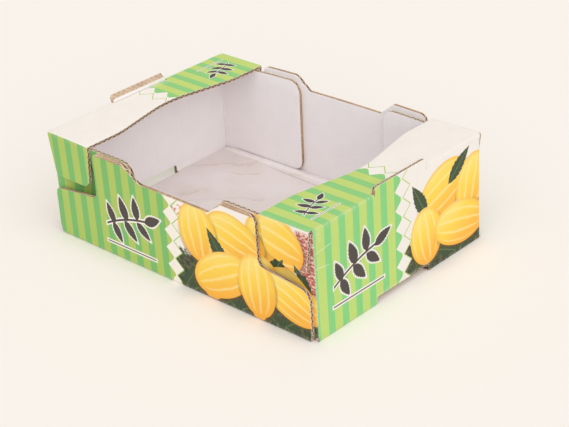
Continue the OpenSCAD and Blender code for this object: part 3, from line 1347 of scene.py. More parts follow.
class Net:
    """A node tree being wired, for a material, for the world or for a group."""

    # Sockets of a Mix node by kind: its share, its two inputs and its output
    MIX_SOCKETS = {"RGBA": (0, 6, 7, 2), "VECTOR": (0, 4, 5, 1)}

    def __init__(self, tree: bpy.types.NodeTree) -> None:
        """Starts from an existing tree."""
        self.tree = tree

    def node(self, kind: str, **settings: object) -> bpy.types.Node:
        """Adds a node and sets its properties.

        Args:
            kind: Node type without the ShaderNode prefix.
            settings: Properties to set on it.

        Returns:
            The node.
        """
        made = self.tree.nodes.new("ShaderNode" + kind)
        for key, value in settings.items():
            setattr(made, key, value)
        return made

    def feed(self, socket: bpy.types.NodeSocket, value: Feed) -> None:
        """Links a wire to a socket, or sets the socket's own value.

        Args:
            socket: The input.
            value: The wire, or a constant.
        """
        if isinstance(value, Wire):
            self.tree.links.new(value.socket, socket)
        else:
            socket.default_value = value

    def out(self, node: bpy.types.Node, key: Union[int, str] = 0) -> Wire:
        """One output of a node, by number or name."""
        return Wire(self, node.outputs[key])

    def fed(self, kind: str, given: dict[Union[int, str], Feed], **settings: object) -> Wire:
        """Adds a node and feeds its inputs.

        Args:
            kind: Node type without the ShaderNode prefix.
            given: What goes into its inputs, by number or name.
            settings: Properties to set on it.

        Returns:
            The node's first output.
        """
        made = self.node(kind, **settings)
        for key, value in given.items():
            self.feed(made.inputs[key], value)
        return self.out(made)

    def math(self, operation: str, *values: Feed) -> Wire:
        """Adds a Math node on one to three values."""
        return self.fed("Math", dict(enumerate(values)), operation=operation)

    def vector(self, operation: str, *values: Feed) -> Wire:
        """Adds a Vector Math node that gives a vector."""
        return self.fed("VectorMath", dict(enumerate(values)), operation=operation)

    def smooth(self, value: Feed, low: Feed, high: Feed) -> Wire:
        """Smooth step from 0 at low to 1 at high."""
        given = {"Value": value, "From Min": low, "From Max": high}
        return self.fed("MapRange", given, interpolation_type="SMOOTHSTEP")

    def noise(self, where: Wire, scale: float, detail: float = 2.0, rough: float = 0.5) -> Wire:
        """Adds a noise texture and gives its value."""
        given = {"Vector": where, "Scale": scale, "Detail": detail, "Roughness": rough}
        return self.fed("TexNoise", given, noise_dimensions="3D")

    def turned(self, where: Wire, angle: Wire) -> Wire:
        """Turns a flat vector back by an angle in radians."""
        given = {"Vector": where, "Angle": angle}
        return self.fed("VectorRotate", given, rotation_type="Z_AXIS", invert=True)

    def toned(self, colour: Wire, value: Wire) -> Wire:
        """Makes a colour lighter or darker by a factor."""
        return self.fed("HueSaturation", {"Color": colour, "Value": value})

    def join(self, x: Feed, y: Feed) -> Wire:
        """A flat vector from two values."""
        return self.fed("CombineXYZ", {0: x, 1: y})

    def split(self, value: Wire) -> tuple[Wire, Wire]:
        """First two parts of a vector."""
        first = self.fed("SeparateXYZ", {0: value})
        return first, self.out(first.socket.node, 1)

    def mix(self, share: Feed, under: Feed, over: Feed, kind: str = "RGBA") -> Wire:
        """Mixes two colours or two vectors.

        Args:
            share: Share of the second one.
            under: The first one.
            over: The second one.
            kind: The Mix node's type of data.

        Returns:
            The mixture.
        """
        *sockets, result = self.MIX_SOCKETS[kind]
        first = self.fed("Mix", dict(zip(sockets, (share, under, over))), data_type=kind)
        return self.out(first.socket.node, result)

    def uv(self, name: str) -> Wire:
        """Coordinates of a named map."""
        return self.out(self.node("UVMap", uv_map=name))

    def attribute(self, name: str) -> Wire:
        """A value stored on the mesh."""
        return self.out(self.node("Attribute", attribute_name=name), "Fac")

    def group(self, tree: bpy.types.NodeTree, **given: Feed) -> dict[str, Wire]:
        """Places a node group with its inputs by name, and gives its outputs by name."""
        first = self.fed("Group", given, node_tree=tree)
        return {socket.name: Wire(self, socket) for socket in first.socket.node.outputs}

    def placed(self, tree: bpy.types.NodeTree, where: Wire, spot: Placed, **given: Feed) -> dict[str, Wire]:
        """Places a group that draws one fruit or leaf.

        Args:
            tree: The group.
            where: Coordinates in the print.
            spot: Middle, tilt in degrees, half length and half width.
            given: The group's other inputs by name.

        Returns:
            The group's outputs by name.
        """
        x, y, tilt, long_half, wide_half = spot
        size = (long_half, wide_half, 1)
        return self.group(tree, Map=where, Centre=(x, y, 0), Tilt=math.radians(tilt), Size=size, **given)


class Effect:
    """A shader node group under construction, with named inputs and outputs."""

    KINDS = {"value": "NodeSocketFloat", "vector": "NodeSocketVector", "colour": "NodeSocketColor"}

    def __init__(self, name: str, **inputs: str) -> None:
        """Opens a group and its inputs.

        Args:
            name: The group's name.
            inputs: Kind of each input by name.
        """
        self.tree = bpy.data.node_groups.new(name, "ShaderNodeTree")
        self.net = Net(self.tree)
        for key, kind in inputs.items():
            self.tree.interface.new_socket(key, in_out="INPUT", socket_type=self.KINDS[kind])
        source = self.tree.nodes.new("NodeGroupInput")
        self.inputs = {key: self.net.out(source, key) for key in inputs}

    def close(self, **outputs: tuple[str, Wire]) -> bpy.types.NodeTree:
        """Wires the outputs.

        Args:
            outputs: Kind and wire of each output by name.

        Returns:
            The finished group.
        """
        for key, (kind, _) in outputs.items():
            self.tree.interface.new_socket(key, in_out="OUTPUT", socket_type=self.KINDS[kind])
        sink = self.tree.nodes.new("NodeGroupOutput")
        for key, (_, wire) in outputs.items():
            self.net.feed(sink.inputs[key], wire)
        return self.tree


@dataclass(frozen=True)
class FruitSkin:
    """Colours of one fruit, and of the shadow that it casts on what lies under it."""

    shade: Colour = ink(253, 184, 58)
    body: Colour = ink(255, 214, 76)
    glow: Colour = ink(255, 234, 140)
    rib: Colour = ink(255, 238, 164)
    rim: Colour = ink(247, 166, 46)
    cast: Colour = ink(110, 78, 24)


class Effects:
    """The node groups that the tray's papers and prints share, each built once."""

    def __init__(self, board: Board) -> None:
        """Builds every group.

        Args:
            board: The board, whose flutes show through its liners.
        """
        self.pitch = board.pitch
        self.fibre = self.make_fibre()
        self.flutes = self.make_flutes()
        self.border = self.make_border()
        self.fruit = self.make_fruit()
        self.leaf = self.make_leaf()
        self.crease = self.make_crease()

    @staticmethod
    def make_fibre() -> bpy.types.NodeTree:
        """Paper: fine fibres along the sheet, cloudy formation and small specks.

        Returns:
            The group, with the paper's tone, its height and its specks.
        """
        effect = Effect("paper_fibre", Map="vector")
        net = effect.net
        where = effect.inputs["Map"]
        drawn = net.vector("MULTIPLY", where, (0.35, 1.0, 1.0))
        fibres = net.noise(drawn, 1.6, 3.0, 0.65)
        clouds = net.noise(where, 0.045, 3.0, 0.55)
        specks = net.smooth(net.noise(where, 0.9, 1.0, 0.4), 0.70, 0.78)
        tone = (fibres - 0.5) * 0.5 + (clouds - 0.5) * 0.9
        return effect.close(Tone=("value", tone), Height=("value", fibres), Specks=("value", specks))

    @staticmethod
    def make_crease() -> bpy.types.NodeTree:
        """A thin, slightly broken line from one point to another.

        Returns:
            The group, with the line's mask.
        """
        effect = Effect("crease_line", Map="vector", Start="vector", End="vector", Width="value")
        net, given = effect.net, effect.inputs
        run_x, run_y = net.split(net.vector("SUBTRACT", given["End"], given["Start"]))
        x, y = net.split(net.vector("SUBTRACT", given["Map"], given["Start"]))
        square = run_x * run_x + run_y * run_y
        share = net.math("MAXIMUM", net.math("MINIMUM", (x * run_x + y * run_y) / square, 1.0), 0.0)
        off_x, off_y = x - run_x * share, y - run_y * share
        ragged = net.noise(given["Map"], 0.35, 3.0, 0.6)
        off = net.math("SQRT", off_x * off_x + off_y * off_y) + (ragged - 0.5) * 1.2
        line = net.smooth(off, given["Width"], given["Width"] * 0.3) * net.smooth(ragged, 0.30, 0.52)
        return effect.close(Line=("value", line))

    def make_flutes(self) -> bpy.types.NodeTree:
        """Washboard: the lines where the fluting is glued to a liner.

        Returns:
            The group, with the lines' mask.
        """
        effect = Effect("flute_show_through", Map="vector", Crest="value")
        net = effect.net
        _, across = net.split(effect.inputs["Map"])
        wave = net.math("COSINE", (across / self.pitch - effect.inputs["Crest"]) * (2 * math.pi))
        patchy = net.noise(net.vector("MULTIPLY", effect.inputs["Map"], (0.02, 0.05, 1.0)), 1.0, 2.0)
        lines = net.smooth(wave, -0.2, 1.0) * net.smooth(patchy, 0.25, 0.7)
        return effect.close(Lines=("value", lines))

    @staticmethod
    def make_border() -> bpy.types.NodeTree:
        """Striped field, its zigzag edge, the row of diamonds and the thin line beyond them.

        Returns:
            The group, with masks of the light stripes, the field, the line and the picture.
        """
        effect = Effect(
            "striped_border", Along="value", Up="value", Stripe="value", Period="value",
            Chain="value", Diamond="value", Pitch="value",
        )
        net, given = effect.net, effect.inputs
        band = ((given["Along"] - given["Stripe"]) / given["Period"]).saw() * given["Period"]
        stripe = net.smooth(band, 6.35, 5.95)
        neck = ((given["Up"] - given["Diamond"]) / given["Pitch"]).saw() * 2.0
        half = (1.0 - neck) * 12.5
        away = given["Along"] - given["Chain"]
        edge = net.math("SMOOTH_MIN", half * -1.0, -1.6, 2.5)
        field_mask = net.smooth(edge - away, -0.25, 0.25)
        off = (away - half - 1.0).size()
        line = net.smooth(off, 1.05, 0.65)
        picture = net.smooth(away - half, 0.8, 1.2)
        return effect.close(
            Stripe=("value", stripe), Field=("value", field_mask),
            Line=("value", line), Picture=("value", picture),
        )

    @staticmethod
    def make_fruit() -> bpy.types.NodeTree:
        """An oval fruit with pale ribs from end to end, rounded by its shading.

        Returns:
            The group, with the colour of the fruit over what lies under it.
        """
        effect = Effect(
            "ribbed_fruit", Map="vector", Centre="vector", Tilt="value", Size="vector", Under="colour",
        )
        net, given = effect.net, effect.inputs
        tones = FruitSkin()
        away = net.vector("SUBTRACT", given["Map"], given["Centre"])
        turned = net.turned(away, given["Tilt"])
        long_way, wide_way = net.split(net.vector("DIVIDE", turned, given["Size"]))
        left, up = net.split(net.vector("DIVIDE", away, given["Size"]))
        square = long_way * long_way + wide_way * wide_way
        reach = net.math("SQRT", square)
        belly = net.math("SQRT", net.math("MAXIMUM", 1.0 - long_way * long_way, 0.03))
        turn = net.math("ARCSINE", net.math("MAXIMUM", net.math("MINIMUM", wide_way / belly, 1.0), -1.0))
        wobble = net.noise(given["Map"], 0.06, 2.0)
        rib = net.smooth((turn * 1.9 + (wobble - 0.5) * 0.25 + 0.22).saw(), 0.20, 0.03)
        rib = rib * net.smooth(reach, 1.0, 0.75)
        lit = up * 0.75 - left * 0.45
        shade = net.smooth(lit, -0.85, 0.30)
        glow = net.smooth(lit - reach * 0.25, 0.05, 0.60)
        skin = net.mix(shade, tones.shade, tones.body)
        skin = net.mix(glow * 0.55, skin, tones.glow)
        skin = net.mix(rib * 0.55, skin, tones.rib)
        skin = net.mix(net.smooth(reach, 0.82, 1.0) * 0.45, skin, tones.rim)
        cast = net.smooth(reach, 1.16, 1.0) * net.smooth(lit, 0.65, -0.35) * 0.55
        under = net.mix(cast, given["Under"], tones.cast)
        mask = net.smooth(reach, 1.008, 0.985)
        return effect.close(Colour=("colour", net.mix(mask, under, skin)))

    @staticmethod
    def make_leaf() -> bpy.types.NodeTree:
        """A toothed leaf with its veins.

        Returns:
            The group, with the signed distance to the leaf's edge in millimetres and the veins' mask.
        """
        effect = Effect("toothed_leaf", Map="vector", Centre="vector", Tilt="value", Size="vector")
        net, given = effect.net, effect.inputs
        turned = net.turned(net.vector("SUBTRACT", given["Map"], given["Centre"]), given["Tilt"])
        long_way, wide_way = net.split(net.vector("DIVIDE", turned, given["Size"]))
        across, wide = wide_way.size(), net.split(given["Size"])[1]
        width = (1.0 - long_way * long_way) * (1.0 - long_way * 0.38)
        teeth = net.math("FRACT", long_way * 4.0) * 0.16 + 0.9
        distance = (width * teeth - across) * wide
        tip = (1.0 - long_way.size()) * 14.0
        distance = net.math("MINIMUM", distance, tip)
        rib = net.smooth(across, 0.10, 0.03)
        veins = net.smooth((long_way * 4.0 - across * 1.8).saw(), 0.10, 0.03)
        vein = net.math("MAXIMUM", rib, veins * 0.6)
        return effect.close(Distance=("value", distance), Vein=("value", vein))


class Surface:
    """A new material with one Principled shader, to which a finish wires its colour and relief."""

    def __init__(self, name: str) -> None:
        """Makes the material.

        Args:
            name: The material's name.
        """
        self.material = bpy.data.materials.new(name)
        self.material.use_nodes = True
        self.net = Net(self.material.node_tree)
        self.shader = self.material.node_tree.nodes["Principled BSDF"]

    def paint(self, colour: Feed, roughness: Feed) -> None:
        """Sets the base colour and the roughness."""
        self.net.feed(self.shader.inputs["Base Color"], colour)
        self.net.feed(self.shader.inputs["Roughness"], roughness)

    def emboss(self, height: Wire, strength: float, distance: float) -> None:
        """Gives the paper a relief, by its height, how much of it shows and its depth in metres."""
        given = {"Height": height, "Strength": strength, "Distance": distance}
        self.net.feed(self.shader.inputs["Normal"], self.net.fed("Bump", given))


@dataclass(frozen=True)
class Border:
    """Sizes of one panel's stripes and diamonds, in millimetres."""

    stripe: float
    period: float
    chain: float
    diamond: float
    pitch: float

    def masks(self, net: Net, tree: bpy.types.NodeTree, along: Wire, up: Wire) -> dict[str, Wire]:
        """Places the border's group and gives its masks by name."""
        sizes = {key.title(): size for key, size in vars(self).items()}
        return net.group(tree, Along=along, Up=up, **sizes)


@dataclass(frozen=True)
class Sprig:
    """Plain leaf sprig over a rule, one on each panel, in millimetres."""

    leaf: bpy.types.NodeTree
    side_at: tuple[float, float] = (-77.0, 52.0)
    end_at: tuple[float, float] = (-75.0, 64.0)
    shelf_at: tuple[float, float] = (-102.0, 171.0)
    shelf_scale: float = 1.9
    slope: float = 0.30
    curve: float = 0.0028
    rise: float = 6.0
    stem_half: float = 1.3
    stem_reach: float = 40.0
    rule_half: float = 0.8
    rule_reach: float = 42.0
    rule_drop: float = 34.0
    vein: float = 1.2
    leaves: tuple[Placed, ...] = (
        (-31, 6, 112, 15, 6), (-22, -18, -62, 15, 6), (-8, 18, 108, 17, 7), (2, -9, -50, 16, 6.5),
        (14, 25, 95, 16, 6.5), (25, -2, -40, 15, 6), (42, 17, 24, 16, 6.5),
    )

    def where(self, net: Net, along: Wire, up: Wire, is_end: Wire, on_shelf: Wire) -> Wire:
        """Measures from the middle of the panel's sprig.

        Args:
            net: The material's net.
            along: Distance along the print.
            up: Height in the print.
            is_end: 1 on the ends and their shelves.
            on_shelf: 1 on the shelves.

        Returns:
            Coordinates about the sprig's middle.
        """
        (side_x, side_y), (end_x, end_y), (shelf_x, shelf_y) = self.side_at, self.end_at, self.shelf_at
        panel_x = along - side_x - is_end * (end_x - side_x)
        panel_y = up - side_y - is_end * (end_y - side_y)
        small = net.join((along - shelf_x) * self.shelf_scale, (up - shelf_y) * self.shelf_scale)
        return net.mix(on_shelf, net.join(panel_x, panel_y), small, "VECTOR")

    def distance(self, net: Net, where: Wire) -> Wire:
        """Draws the stem, the rule and the leaves.

        Args:
            net: The material's net.
            where: Coordinates about the sprig's middle.

        Returns:
            Signed distance to the edge, positive inside.
        """
        x, y = net.split(where)
        bend = y - x * self.slope + x * x * self.curve - self.rise
        stem = net.math("MINIMUM", self.stem_half - bend.size() * 0.95, self.stem_reach - x.size())
        rule = net.math("MINIMUM", self.rule_half - (y + self.rule_drop).size(), self.rule_reach - x.size())
        best = net.math("MAXIMUM", stem, rule)
        for spot in self.leaves:
            leaf = net.placed(self.leaf, where, spot)
            best = net.math("MAXIMUM", best, leaf["Distance"] - leaf["Vein"] * self.vein)
        return best


@dataclass(frozen=True)
class FruitPicture:
    """The picture beside the diamonds: (x, y, tilt in degrees, half length, half width) of each shape."""

    effects: Effects
    ground: tuple[Colour, Colour] = (ink(40, 48, 34), ink(100, 104, 66))
    straw: tuple[Colour, Colour] = (ink(240, 214, 200), ink(184, 74, 62))
    wisp: Colour = ink(204, 84, 70)
    leaf: tuple[Colour, Colour] = (ink(50, 70, 40), ink(112, 132, 80))
    leaves: tuple[Placed, ...] = (
        (22, 16, 55, 22, 9), (40, 8, 15, 24, 10), (78, 9, 160, 26, 10), (112, 8, 20, 25, 10),
        (146, 10, 150, 26, 11), (178, 13, 35, 26, 11), (200, 26, 105, 26, 10), (148, 66, 58, 28, 10),
        (190, 66, 118, 26, 10), (70, 68, 122, 28, 10), (238, 16, 60, 22, 9), (262, 9, 20, 25, 10),
        (300, 10, 155, 27, 11), (332, 12, 30, 28, 11), (352, 26, 110, 26, 10), (246, 96, 118, 26, 9),
        (318, 112, 40, 26, 9),
    )
    behind: tuple[Placed, ...] = (
        (154, 105, -12, 39, 33), (96, 91, 166, 42, 28), (40, 80, 98, 37, 30), (289, 94, 18, 46, 31),
        (343, 80, 76, 38, 30),
    )
    front: tuple[Placed, ...] = (
        (176, 43, 158, 42, 26), (74, 37, 27, 48, 28), (127, 42, 93, 39, 28),
        (257, 47, 100, 37, 28), (318, 39, 166, 48, 28),
    )

    def colour(self, net: Net, along: Wire, up: Wire, white: Wire) -> Wire:
        """Colours the ground, the straw and the wisps, then the fruit and leaves over them.

        Args:
            net: The material's net.
            along: Distance along the picture.
            up: Height above the table.
            white: Colour of the unprinted paper.

        Returns:
            The colour, plain white above the picture.
        """
        where = net.join(along, up)
        mottle = net.noise(where, 0.16, 4.0, 0.7)
        ground = net.mix(net.smooth(mottle, 0.38, 0.68), *self.ground)
        shown = net.smooth(up + (mottle - 0.5) * 34.0, 54.0, 46.0)
        colour = net.mix(shown, white, ground)
        straw_map = net.vector("MULTIPLY", where, (0.6, 1.0, 1.0))
        flecks = net.smooth(net.noise(straw_map, 0.36, 3.0, 0.75), 0.40, 0.54)
        strip = net.smooth((along - 199.0).size() + (mottle - 0.5) * 14.0, 17.0, 14.0)
        strip = strip * net.smooth(up, 132.0, 129.0) * net.smooth(up, 40.0, 52.0)
        colour = net.mix(strip, colour, net.mix(flecks, *self.straw))
        slant = net.join(along * 0.5 + up * 0.35, up * 1.1 - along * 0.5)
        wisps = net.smooth(net.noise(slant, 0.26, 3.0, 0.65), 0.53, 0.58)
        wisps = wisps * net.smooth((up - 101.0 + along * 0.12).size(), 9.0, 4.0)
        colour = net.mix(wisps * net.smooth(along, 74.0, 58.0), colour, self.wisp)
        for spot in self.behind:
            colour = net.placed(self.effects.fruit, where, spot, Under=colour)["Colour"]
        for spot in self.leaves:
            leaf = net.placed(self.effects.leaf, where, spot)
            green = net.mix(leaf["Vein"] * 0.6, *self.leaf)
            colour = net.mix(net.smooth(leaf["Distance"], -0.25, 0.25), colour, green)
        for spot in self.front:
            colour = net.placed(self.effects.fruit, where, spot, Under=colour)["Colour"]
        return colour


@dataclass(frozen=True)
class PrintedLiner:
    """Outside paper: coated white, printed with stripes, diamonds, a fruit picture and a sprig."""

    effects: Effects
    white: Colour = ink(250, 242, 233)
    # Painted shade: a darker copy of the same coated white, for the end walls.
    end_white: Colour = ink(241, 235, 230)
    # One set of inks in three copies: painted shade makes the long sides' stripes and line darker than the
    # ends', and painted light makes the shelves' stripes lighter.
    side_green: Colour = ink(121, 189, 106)
    side_light: Colour = ink(176, 201, 97)
    end_green: Colour = ink(132, 208, 129)
    end_light: Colour = ink(190, 217, 117)
    shelf_green: Colour = ink(143, 209, 126)
    shelf_light: Colour = ink(198, 219, 115)
    line_green: Colour = ink(150, 203, 84)
    end_line: Colour = ink(176, 206, 100)
    charcoal: Colour = ink(70, 62, 58)
    crease_pale: Colour = ink(226, 236, 214)
    # Pale rub at cut rims; along folds both cracked coating and a painted highlight.
    rubbed: Colour = ink(238, 230, 216)
    side_border: Border = Border(stripe=-29.2, period=23.2, chain=-2.0, diamond=21.7, pitch=22.5)
    end_border: Border = Border(stripe=-18.2, period=22.8, chain=1.5, diamond=30.0, pitch=23.4)
    creases: tuple[tuple[tuple, tuple], ...] = (
        ((-146.0, 106.0, 0.0), (-117.0, 109.0, 0.0)), ((-144.0, 89.0, 0.0), (-121.0, 85.5, 0.0)),
    )
    crease_width: float = 1.1
    picture_shift: float = 215.0
    shelf_start: float = 136.5
    bounce: Colour = ink(224, 222, 212)
    bounce_share: float = 0.7
    bounce_reach: tuple[float, float] = (0.015, 0.04)
    relief: tuple[float, float] = (0.35, 0.0004)

    def printed(self, net: Net, along: Wire, up: Wire, is_end: Wire, on_shelf: Wire) -> Wire:
        """Colours the whole print.

        Args:
            net: The material's net.
            along: Distance along the print of a panel.
            up: Height in the print.
            is_end: 1 on the ends, their shelves and their stacking tabs.
            on_shelf: 1 on the shelves.

        Returns:
            The colour before any wear.
        """
        # Painted shade: the end walls take the darker copy of the white.
        white = net.mix(is_end - on_shelf, self.white, self.end_white)
        side = self.side_border.masks(net, self.effects.border, along, up)
        end = self.end_border.masks(net, self.effects.border, along, up)

        def pick(key: str) -> Wire:
            """A mask of the border on whichever panel this is."""
            return side[key] + (end[key] - side[key]) * is_end

        # Painted shade on the long sides' stripes, painted light on the shelves' stripes.
        side_stripes = net.mix(side["Stripe"], self.side_green, self.side_light)
        end_green = net.mix(on_shelf, self.end_green, self.shelf_green)
        end_light = net.mix(on_shelf, self.end_light, self.shelf_light)
        stripes = net.mix(is_end, side_stripes, net.mix(end["Stripe"], end_green, end_light))
        sprig = Sprig(self.effects.leaf)
        mark = sprig.distance(net, sprig.where(net, along, up, is_end, on_shelf))
        stripes = net.mix(net.smooth(mark, -2.2, -1.7), stripes, white)
        stripes = net.mix(net.smooth(mark, -0.2, 0.25), stripes, self.charcoal)
        picture = FruitPicture(self.effects).colour(net, along + is_end * self.picture_shift, up, white)
        picture = net.mix(on_shelf, picture, white)
        colour = net.mix(pick("Picture"), white, picture)
        colour = net.mix(pick("Field"), colour, stripes)
        # Painted shade: the long sides' line is the darker copy.
        return net.mix(pick("Line"), colour, net.mix(is_end, self.line_green, self.end_line))

    def material(self) -> bpy.types.Material:
        """Wires the whole finish.

        Returns:
            The material.
        """
        surface = Surface("printed_liner")
        net = surface.net
        fibre = net.group(self.effects.fibre, Map=net.uv("fibre"))
        flutes = net.group(self.effects.flutes, Map=net.uv("fibre"), Crest=0.5)
        raw, up = net.split(net.uv("print"))
        zone = net.math("FLOOR", raw / ZONE_STEP + 0.5)
        along = raw - zone * ZONE_STEP
        end_panels, tabs, bare = (
            net.math("COMPARE", zone, wanted.value / ZONE_STEP, 0.25)
            for wanted in (Zone.END, Zone.STACK_TAB, Zone.BARE)
        )
        is_end = end_panels + tabs
        on_shelf = net.smooth(up, self.shelf_start - 0.5, self.shelf_start) * end_panels
        colour = net.mix(bare, self.printed(net, along, up, is_end, on_shelf), self.white)
        where = net.join(along, up)
        lines = [
            net.group(self.effects.crease, Map=where, Start=start, End=stop, Width=self.crease_width)
            for start, stop in self.creases
        ]
        creased = net.math("MAXIMUM", *(line["Line"] for line in lines)) * is_end
        colour = net.mix(creased * 0.5, colour, self.crease_pale)
        scuff = net.noise(net.uv("fibre"), 0.5, 3.0, 0.7)
        # Paler along folds and cut rims: cracked coating, and along folds also a painted highlight.
        worn = net.math("MAXIMUM", net.attribute("fold_wear") * 0.42, net.attribute("cut_rim_and_plug_light") * 0.7)
        worn = worn * net.smooth(scuff, 0.42, 0.62)
        colour = net.mix(worn, colour, self.rubbed)
        colour = net.toned(colour, fibre["Tone"] * 0.08 + 1.0 - flutes["Lines"] * 0.012)
        path = net.node("LightPath")
        far = net.smooth(net.out(path, "Ray Length"), *self.bounce_reach)
        bounced = net.out(path, "Is Diffuse Ray") * far * self.bounce_share
        colour = net.mix(bounced, colour, self.bounce)
        surface.paint(colour, fibre["Tone"] * 0.25 + 0.58 + worn * 0.2)
        surface.emboss(fibre["Height"] * 0.15 + flutes["Lines"] * 0.35 + creased * 0.5, *self.relief)
        return surface.material


@dataclass(frozen=True)
class WhiteLiner:
    """Inside paper: plain white, uncoated, with smudges and a scuffed crease on the floor, whose white is
    painted darker as painted shade.
    """

    effects: Effects
    white: Colour = ink(250, 245, 246)
    # Painted shade: a darker copy of the walls' white, for the floor.
    floor_white: Colour = ink(235, 226, 224)
    floor_cloud: Colour = ink(222, 206, 196)
    smudge: Colour = ink(198, 180, 166)
    crease_brown: Colour = ink(190, 168, 146)
    fold_grey: Colour = ink(206, 192, 184)
    floor_from: float = 1600.0
    arcs_at: tuple[float, float] = (30.0, -110.0)
    arcs_apart: float = 34.0
    bead_y: float = 133.0
    crease_start: tuple[float, float, float] = (-135.0, 127.6, 0.0)
    crease_end: tuple[float, float, float] = (20.0, 120.4, 0.0)
    crease_width: float = 1.6
    relief: tuple[float, float] = (0.4, 0.0004)

    def floor(self, net: Net, walls: Wire) -> Wire:
        """Adds the floor's painted shade, its smudges, a painted highlight along its bead and its crease to
        the plain paper.

        Args:
            net: The material's net.
            walls: Colour of the plain paper.

        Returns:
            The colour of floor and walls.
        """
        raw, y = net.split(net.uv("print"))
        x = raw - Zone.BARE.value
        on_floor = net.smooth(raw, self.floor_from, self.floor_from + 10.0)
        where = net.join(x, y)
        cloud = net.noise(where, 0.016, 4.0, 0.55)
        # Painted shade: the floor takes the darker copy of the white.
        colour = net.mix(on_floor, walls, self.floor_white)
        colour = net.mix(on_floor * net.smooth(cloud, 0.35, 0.75) * 0.5, colour, self.floor_cloud)
        off_x, off_y = x - self.arcs_at[0], y - self.arcs_at[1]
        away = net.math("SQRT", off_x * off_x + off_y * off_y)
        arcs = net.smooth((away / self.arcs_apart + cloud * 2.6).saw(), 0.15, 0.01)
        arcs = arcs * net.smooth(net.noise(where, 0.017, 3.0), 0.46, 0.66) * on_floor
        colour = net.mix(arcs * 0.34, colour, self.smudge)
        # Painted highlight: a band along the bead, where its ridge catches the light, goes back to the walls'
        # white.
        bead = net.smooth((y - self.bead_y).size(), 4.2, 2.2) * on_floor
        colour = net.mix(bead * 0.5, colour, self.white)
        crease = net.group(
            self.effects.crease, Map=where, Start=self.crease_start, End=self.crease_end,
            Width=self.crease_width,
        )["Line"] * on_floor
        return net.mix(crease * net.smooth(x, -140.0, -85.0) * 0.48, colour, self.crease_brown)

    def material(self) -> bpy.types.Material:
        """Wires the whole finish.

        Returns:
            The material.
        """
        surface = Surface("white_liner")
        net = surface.net
        where = net.uv("fibre")
        fibre = net.group(self.effects.fibre, Map=where)
        flutes = net.group(self.effects.flutes, Map=where, Crest=0.0)
        colour = self.floor(net, net.mix(fibre["Specks"] * 0.10, self.white, self.smudge))
        colour = net.mix(net.attribute("fold_wear") * 0.35, colour, self.fold_grey)
        colour = net.toned(colour, fibre["Tone"] * 0.08 + 1.0 - flutes["Lines"] * 0.014)
        surface.paint(colour, fibre["Tone"] * 0.2 + 0.82)
        surface.emboss(fibre["Height"] * 0.2 + flutes["Lines"] * 0.3, *self.relief)
        return surface.material


@dataclass(frozen=True)
class KraftPaper:
    """Raw brown paper of the fluting and of every cut edge."""

    effects: Effects
    brown: Colour = ink(208, 174, 140)
    dark: Colour = ink(160, 124, 92)
    pale: Colour = ink(247, 231, 210)
    relief: tuple[float, float] = (0.5, 0.0003)

    def material(self) -> bpy.types.Material:
        """Wires the whole finish.

        Returns:
            The material.
        """
        surface = Surface("kraft_paper")
        net = surface.net
        fibre = net.group(self.effects.fibre, Map=net.uv("fibre"))
        share = net.smooth(fibre["Tone"], -0.25, 0.3)
        torn = net.smooth(net.noise(net.uv("fibre"), 0.22, 3.0, 0.7), 0.58, 0.70)
        brown = net.mix(share, self.dark, self.brown)
        # Paler where torn, at cut rims, and as painted light on shaded plugs.
        light = net.math("MAXIMUM", torn * 0.7, net.attribute("cut_rim_and_plug_light") * 0.7)
        surface.paint(net.mix(light, brown, self.pale), fibre["Tone"] * 0.2 + 0.88)
        surface.emboss(fibre["Height"], *self.relief)
        return surface.material


